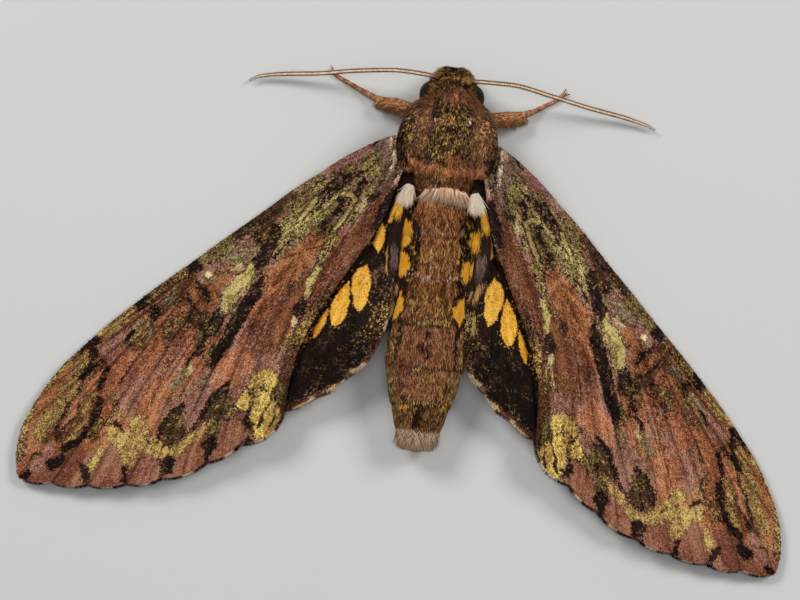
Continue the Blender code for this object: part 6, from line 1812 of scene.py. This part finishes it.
def add_wing_fringe(kind, plan, word, materials, stretch, dashes, base):
    """Fine hairs along a stretch of a wing's rear and outer edge, pale at the dashes.

    The stretch gives the least and the most u and the number of hairs.
    """
    side = SIDES[word]
    random = np.random.default_rng(700 + side + (0 if kind == "forewing" else 10))
    u_from, u_to, count = stretch
    fine = np.linspace(u_from, u_to, 2000)
    edge = np.stack([fine, curve_through(plan.rear, fine)], axis=1)
    along = np.concatenate(([0.0], np.cumsum(np.linalg.norm(np.diff(edge, axis=0), axis=1))))
    at = np.sort(random.uniform(0.0, along[-1], count))
    us = np.interp(at, along, fine)
    vs = curve_through(plan.rear, us)
    step = 0.05
    rise = curve_through(plan.rear, us + step) - curve_through(plan.rear, us - step)
    slope = normalised(np.stack([np.full(count, 2 * step), rise], axis=1))
    outward = np.stack([-slope[:, 1], slope[:, 0]], axis=1)
    length = random.uniform(0.55, 0.95, count)
    over = random.uniform(-0.8, 0.8, count)
    back = length * 0.85
    root = wing_point(plan, us - outward[:, 0] * back, vs - outward[:, 1] * back, word, over)
    tip = wing_point(plan, us + outward[:, 0] * 0.02, vs + outward[:, 1] * 0.02, word, over * 0.4)
    forward = normalised(tip - root)
    lie = jumbled(Lie(root, upright(forward), forward), 0.12, random)
    built = needles(lie, length, random.uniform(0.07, 0.12, count), np.zeros(count))
    edge_places = np.stack([us, vs], axis=1)
    tones = one_colour(base, count)
    for dash in dashes:
        apart = np.linalg.norm(edge_places - np.array(dash), axis=1)
        close = apart < random.uniform(0.6, 1.0, count)
        tones = np.where(close[:, None, None], TONES["white"], tones)
    tints = pick_tone(tones, random.normal(0.0, 0.5, count))
    where = wing_patch_place(us, vs)
    write_coat(f"{kind}_fringe_{word}", built, tints, where, materials["scales"])


# Middles of the pale dashes in the wings' fringes
FOREWING_DASHES = (
    (62.9, 5.4), (59.3, 8.9), (55.2, 11.9), (49.9, 14.7), (43.9, 16.4), (37.8, 18.1), (39.6, 17.6),
    (64.9, 3.2),
)
HINDWING_DASHES = (
    (22.4, 19.4), (23.2, 19.4), (26.2, 19.1), (27.2, 19.2), (31.0, 18.3), (32.0, 18.1), (16.4, 17.1),
)
# Each fringe's stretch (the least and the most u, and its number of hairs), its dashes and its colour
FRINGES = {
    "forewing": ((33.0, 67.4, 2600), FOREWING_DASHES, "dark"),
    "hindwing": ((11.0, 41.5, 2400), HINDWING_DASHES, "hind_rust"),
}


# The forewing's rear edge where it lies over the hindwing
INNER_COVER = ((-2.5, 2.5), (4.5, 5.0), (13.5, 8.0), (21.0, 9.8), (30.4, 14.0), (42.0, 16.6))


def hindwing_cover(u):
    """The hindwing's scales start a little under the forewing's rear edge."""
    return np.clip(curve_through(INNER_COVER, u) - 1.5, 2.0, 99.0)


def add_wings(materials):
    """Both pairs of wings, each with a skin, scales above and a fringe."""
    plans = {"forewing": forewing_plan(), "hindwing": hindwing_plan()}
    for word in SIDES:
        for kind, plan in plans.items():
            add_wing_skin(kind, plan, word, materials)
        add_wing_scales("forewing", plans["forewing"], word, materials)
        add_wing_scales("hindwing", plans["hindwing"], word, materials, hindwing_cover)
        for kind, (stretch, dashes, base) in FRINGES.items():
            add_wing_fringe(kind, plans[kind], word, materials, stretch, dashes, base)


# Legs


def leg_route(pair, word):
    """The centre line of a leg, as on the right side."""
    return {"fore": FORE_LEGS[word], "mid": MID_LEG, "hind": HIND_LEG}[pair]


def add_leg(pair, word, materials):
    """One leg: its skin and the scales on it."""
    side = SIDES[word]
    random = np.random.default_rng(800 + side + {"fore": 0, "mid": 10, "hind": 20}[pair])
    path = [(side * x, y, z) for x, y, z in leg_route(pair, word)]
    path.insert(0, tuple(np.array(path[0]) + (side * HIP_DEPTH[0], 0.0, HIP_DEPTH[1])))
    verts, faces, normals, at, angle, heading = tube(path, (LEG_RADII[pair][0], *LEG_RADII[pair]), 18, 0.12)
    length = at[-1]
    ring = ring_edge(at, FOOT_JOINT)
    foot = smoothstep(length * 0.5, length * 0.62, at)
    verts = verts - normals * (0.05 * foot[:, None] * ring[:, None] ** 6)
    verts[:, 2] = np.maximum(verts[:, 2], 0.02)
    pale = smoothstep(0.35, -0.5, normals[:, 2])
    tones = TONES["leg"] + pale[:, None, None] * (TONES["leg_pale"] - TONES["leg"])
    joints = foot * ring**8
    tones = brightened(tones + joints[:, None, None] * (TONES["leg_pale"] - tones), LEG_GAIN)
    colours = skin_colours(tones)
    lie_map = np.stack([at, angle * 0.5, 0 * at], axis=1)
    write_piece(
        f"{pair}_leg_skin_{word}", verts, faces, materials["body_skin"], colours, lie_map,
        replaced=[f"{pair}_{part}_{word}" for part in ("femur", "tibia", "tarsus")],
    )
    count = LEG_HAIRS[pair]
    chosen = random.choice(len(verts), count)
    lie = jumbled(Lie(verts[chosen], normalised(normals[chosen]), heading[chosen]), 0.25, random)
    hair = random.uniform(0.3, 0.55, count) * (1 - 0.45 * foot[chosen])
    rise = random.uniform(0.08, 0.25, count)
    built = needles(lie, hair, random.uniform(0.08, 0.14, count), rise)
    built[0][:, :, 2] = np.maximum(built[0][:, :, 2], 0.01)
    golden = (random.uniform(0.0, 1.0, count) < 0.18)[:, None, None] & (foot[chosen] < 0.5)[:, None, None]
    tones = np.where(golden, TONES["flecked"] * LEG_GAIN, tones[chosen])
    tints = pick_tone(tones, random.normal(0.0, 0.8, count))
    where = limb_patch_place(at[chosen], angle[chosen], 40)
    write_coat(f"{pair}_leg_coat_{word}", built, tints, where, materials["fur"], lie.normal)


def add_fore_fringe(word, materials):
    """The golden fringe along the rear of the foreleg."""
    side = SIDES[word]
    random = np.random.default_rng(900 + side)
    path = [(side * x, y, z) for x, y, z in FORE_LEGS[word][1:4]]
    points, _, _ = path_through(path, 0.05)
    count = FORE_FRINGE_HAIRS
    chosen = random.choice(len(points), count)
    root = points[chosen] + random.normal(0.0, 0.22, (count, 3)) + (0.0, -0.2, 0.1)
    forward = normalised(np.array((side * 0.75, -0.62, -0.1)) + random.normal(0.0, 0.14, (count, 3)))
    length = random.uniform(0.7, 1.5, count)
    width = random.uniform(0.07, 0.12, count)
    built = needles(Lie(root, upright(forward), forward), length, width, np.zeros(count))
    golden = (random.uniform(0.0, 1.0, count) < 0.4)[:, None, None]
    tones = brightened(np.where(golden, TONES["flecked"], TONES["leg"]), LEG_GAIN)
    tints = pick_tone(tones, random.normal(0.0, 0.9, count))
    where = np.stack([0.1 + chosen / len(points) * 0.8, random.uniform(0.3, 0.6, count)], axis=1)
    write_coat(f"fore_fringe_{word}", built, tints, where, materials["fur"])


def add_claws(materials):
    """Two curved claws at the end of each foot, spurs at the end of each mid and hind tibia and spines along
    the feet.
    """
    verts = []
    faces = []
    for pair in ("fore", "mid", "hind"):
        for word, side in SIDES.items():
            path = np.array([(side * x, y, z) for x, y, z in leg_route(pair, word)])
            out = normalised(path[-1] - path[-2])
            across = normalised(np.cross(out, (0.0, 0.0, 1.0)))
            for turn in (-1, 1):
                start = path[-1] + across * turn * 0.1
                bend = start + out * 0.45 + across * turn * 0.28 + (0.0, 0.0, 0.05)
                tip = start + out * 0.7 + across * turn * 0.38 + (0.0, 0.0, -0.14)
                add_spike(verts, faces, (start, bend, tip), 0.11)
            first, last = TIBIA_POINTS[pair]
            end = path[last]
            heading = normalised(path[last] - path[last - 1])
            wide = normalised(np.cross(heading, (0.0, 0.0, 1.0)))
            for turn, reach in ((-1, 1.5), (1, 1.9)):
                tip = end + heading * reach + wide * turn * 0.75 + (0.0, 0.0, -0.3)
                if pair != "fore":
                    add_spike(verts, faces, (end, (end + tip) / 2 + (0.0, 0.0, 0.1), tip), 0.16)
            random = np.random.default_rng(950 + side)
            route, _, _ = path_through(path[last:], 0.32)
            for number, place in enumerate(route[1:-1]):
                lean = across * (1 if number % 2 else -1) + random.normal(0.0, 0.2, 3)
                tip = place + normalised(lean + out * 1.3) * 0.5
                add_spike(verts, faces, (place, (place + tip) / 2, tip), 0.035)
    verts = np.concatenate(verts)
    verts[:, 2] = np.maximum(verts[:, 2], 0.0)
    write_piece("claws", verts, np.concatenate(faces), materials["horn"])


def add_spike(verts, faces, points, radius):
    """Adds a curved pointed spike to a growing mesh."""
    ring, quads, _, _, _, _ = tube(points, np.linspace(radius, radius * 0.08, len(points)), 8, 0.08)
    faces.append(quads + sum(len(part) for part in verts))
    verts.append(ring)


def add_legs(materials):
    """Three pairs of legs, the fringes of the forelegs, and all claws, spurs and spines."""
    for pair in ("fore", "mid", "hind"):
        for word in SIDES:
            add_leg(pair, word, materials)
    for word in SIDES:
        add_fore_fringe(word, materials)
    add_claws(materials)


# Setting


def add_floor():
    """The surface that the moth stands on."""
    mesh = bpy.data.meshes.new("floor")
    reach = 1.5
    corners = [(-reach, -reach, 0), (reach, -reach, 0), (reach, reach, 0), (-reach, reach, 0)]
    mesh.from_pydata(corners, [], [(0, 1, 2, 3)])
    mesh.materials.append(floor_material())
    floor = bpy.data.objects.new("floor", mesh)
    bpy.context.scene.collection.objects.link(floor)


def add_light(name, place, size, power, colour):
    """A round lamp that faces the moth."""
    lamp = bpy.data.lights.new(name, "AREA")
    lamp.shape = "DISK"
    lamp.size = size
    lamp.energy = power
    lamp.color = colour
    light = bpy.data.objects.new(name, lamp)
    light.location = place
    light.rotation_euler = Vector(place).to_track_quat("Z", "Y").to_euler()
    bpy.context.scene.collection.objects.link(light)


def add_lights():
    """Two soft lamps in front, to the left and right, and a weak one above, in a pale room."""
    add_light("key_left", (-0.55, 0.5, 0.62), 0.35, 5.0, (1.0, 0.98, 0.95))
    add_light("key_right", (0.6, 0.45, 0.62), 0.35, 4.4, (1.0, 0.98, 0.95))
    add_light("top", (0.0, 0.0, 1.2), 0.8, 3.0, (1.0, 1.0, 1.0))
    world = bpy.data.worlds.new("room")
    world.use_nodes = True
    background = world.node_tree.nodes["Background"]
    background.inputs["Color"].default_value = (0.9, 0.94, 1.0, 1.0)
    background.inputs["Strength"].default_value = 0.21
    bpy.context.scene.world = world
    bpy.context.scene.view_settings.view_transform = "Standard"


def add_camera():
    """A camera above the moth, as the constants at the top place it."""
    lens = bpy.data.cameras.new("camera")
    lens.lens = CAMERA_LENS
    lens.clip_start = 0.01
    camera = bpy.data.objects.new("camera", lens)
    columns = (CAMERA_RIGHT, CAMERA_UP, (0.0, 0.0, 1.0), CAMERA_PLACE)
    camera.matrix_world = Matrix([[column[row] for column in columns] for row in range(3)] + [(0, 0, 0, 1)])
    bpy.context.scene.collection.objects.link(camera)
    bpy.context.scene.camera = camera


materials = make_materials()
add_camera()
add_lights()
add_floor()
add_body_skin(materials)
add_body_coats(materials)
add_brushes(materials)
add_tail_brush(materials)
add_side_strips(materials)
add_eyes(materials)
add_brows(materials)
add_antennae(materials)
add_palps(materials)
add_tongue(materials)
add_wings(materials)
add_legs(materials)
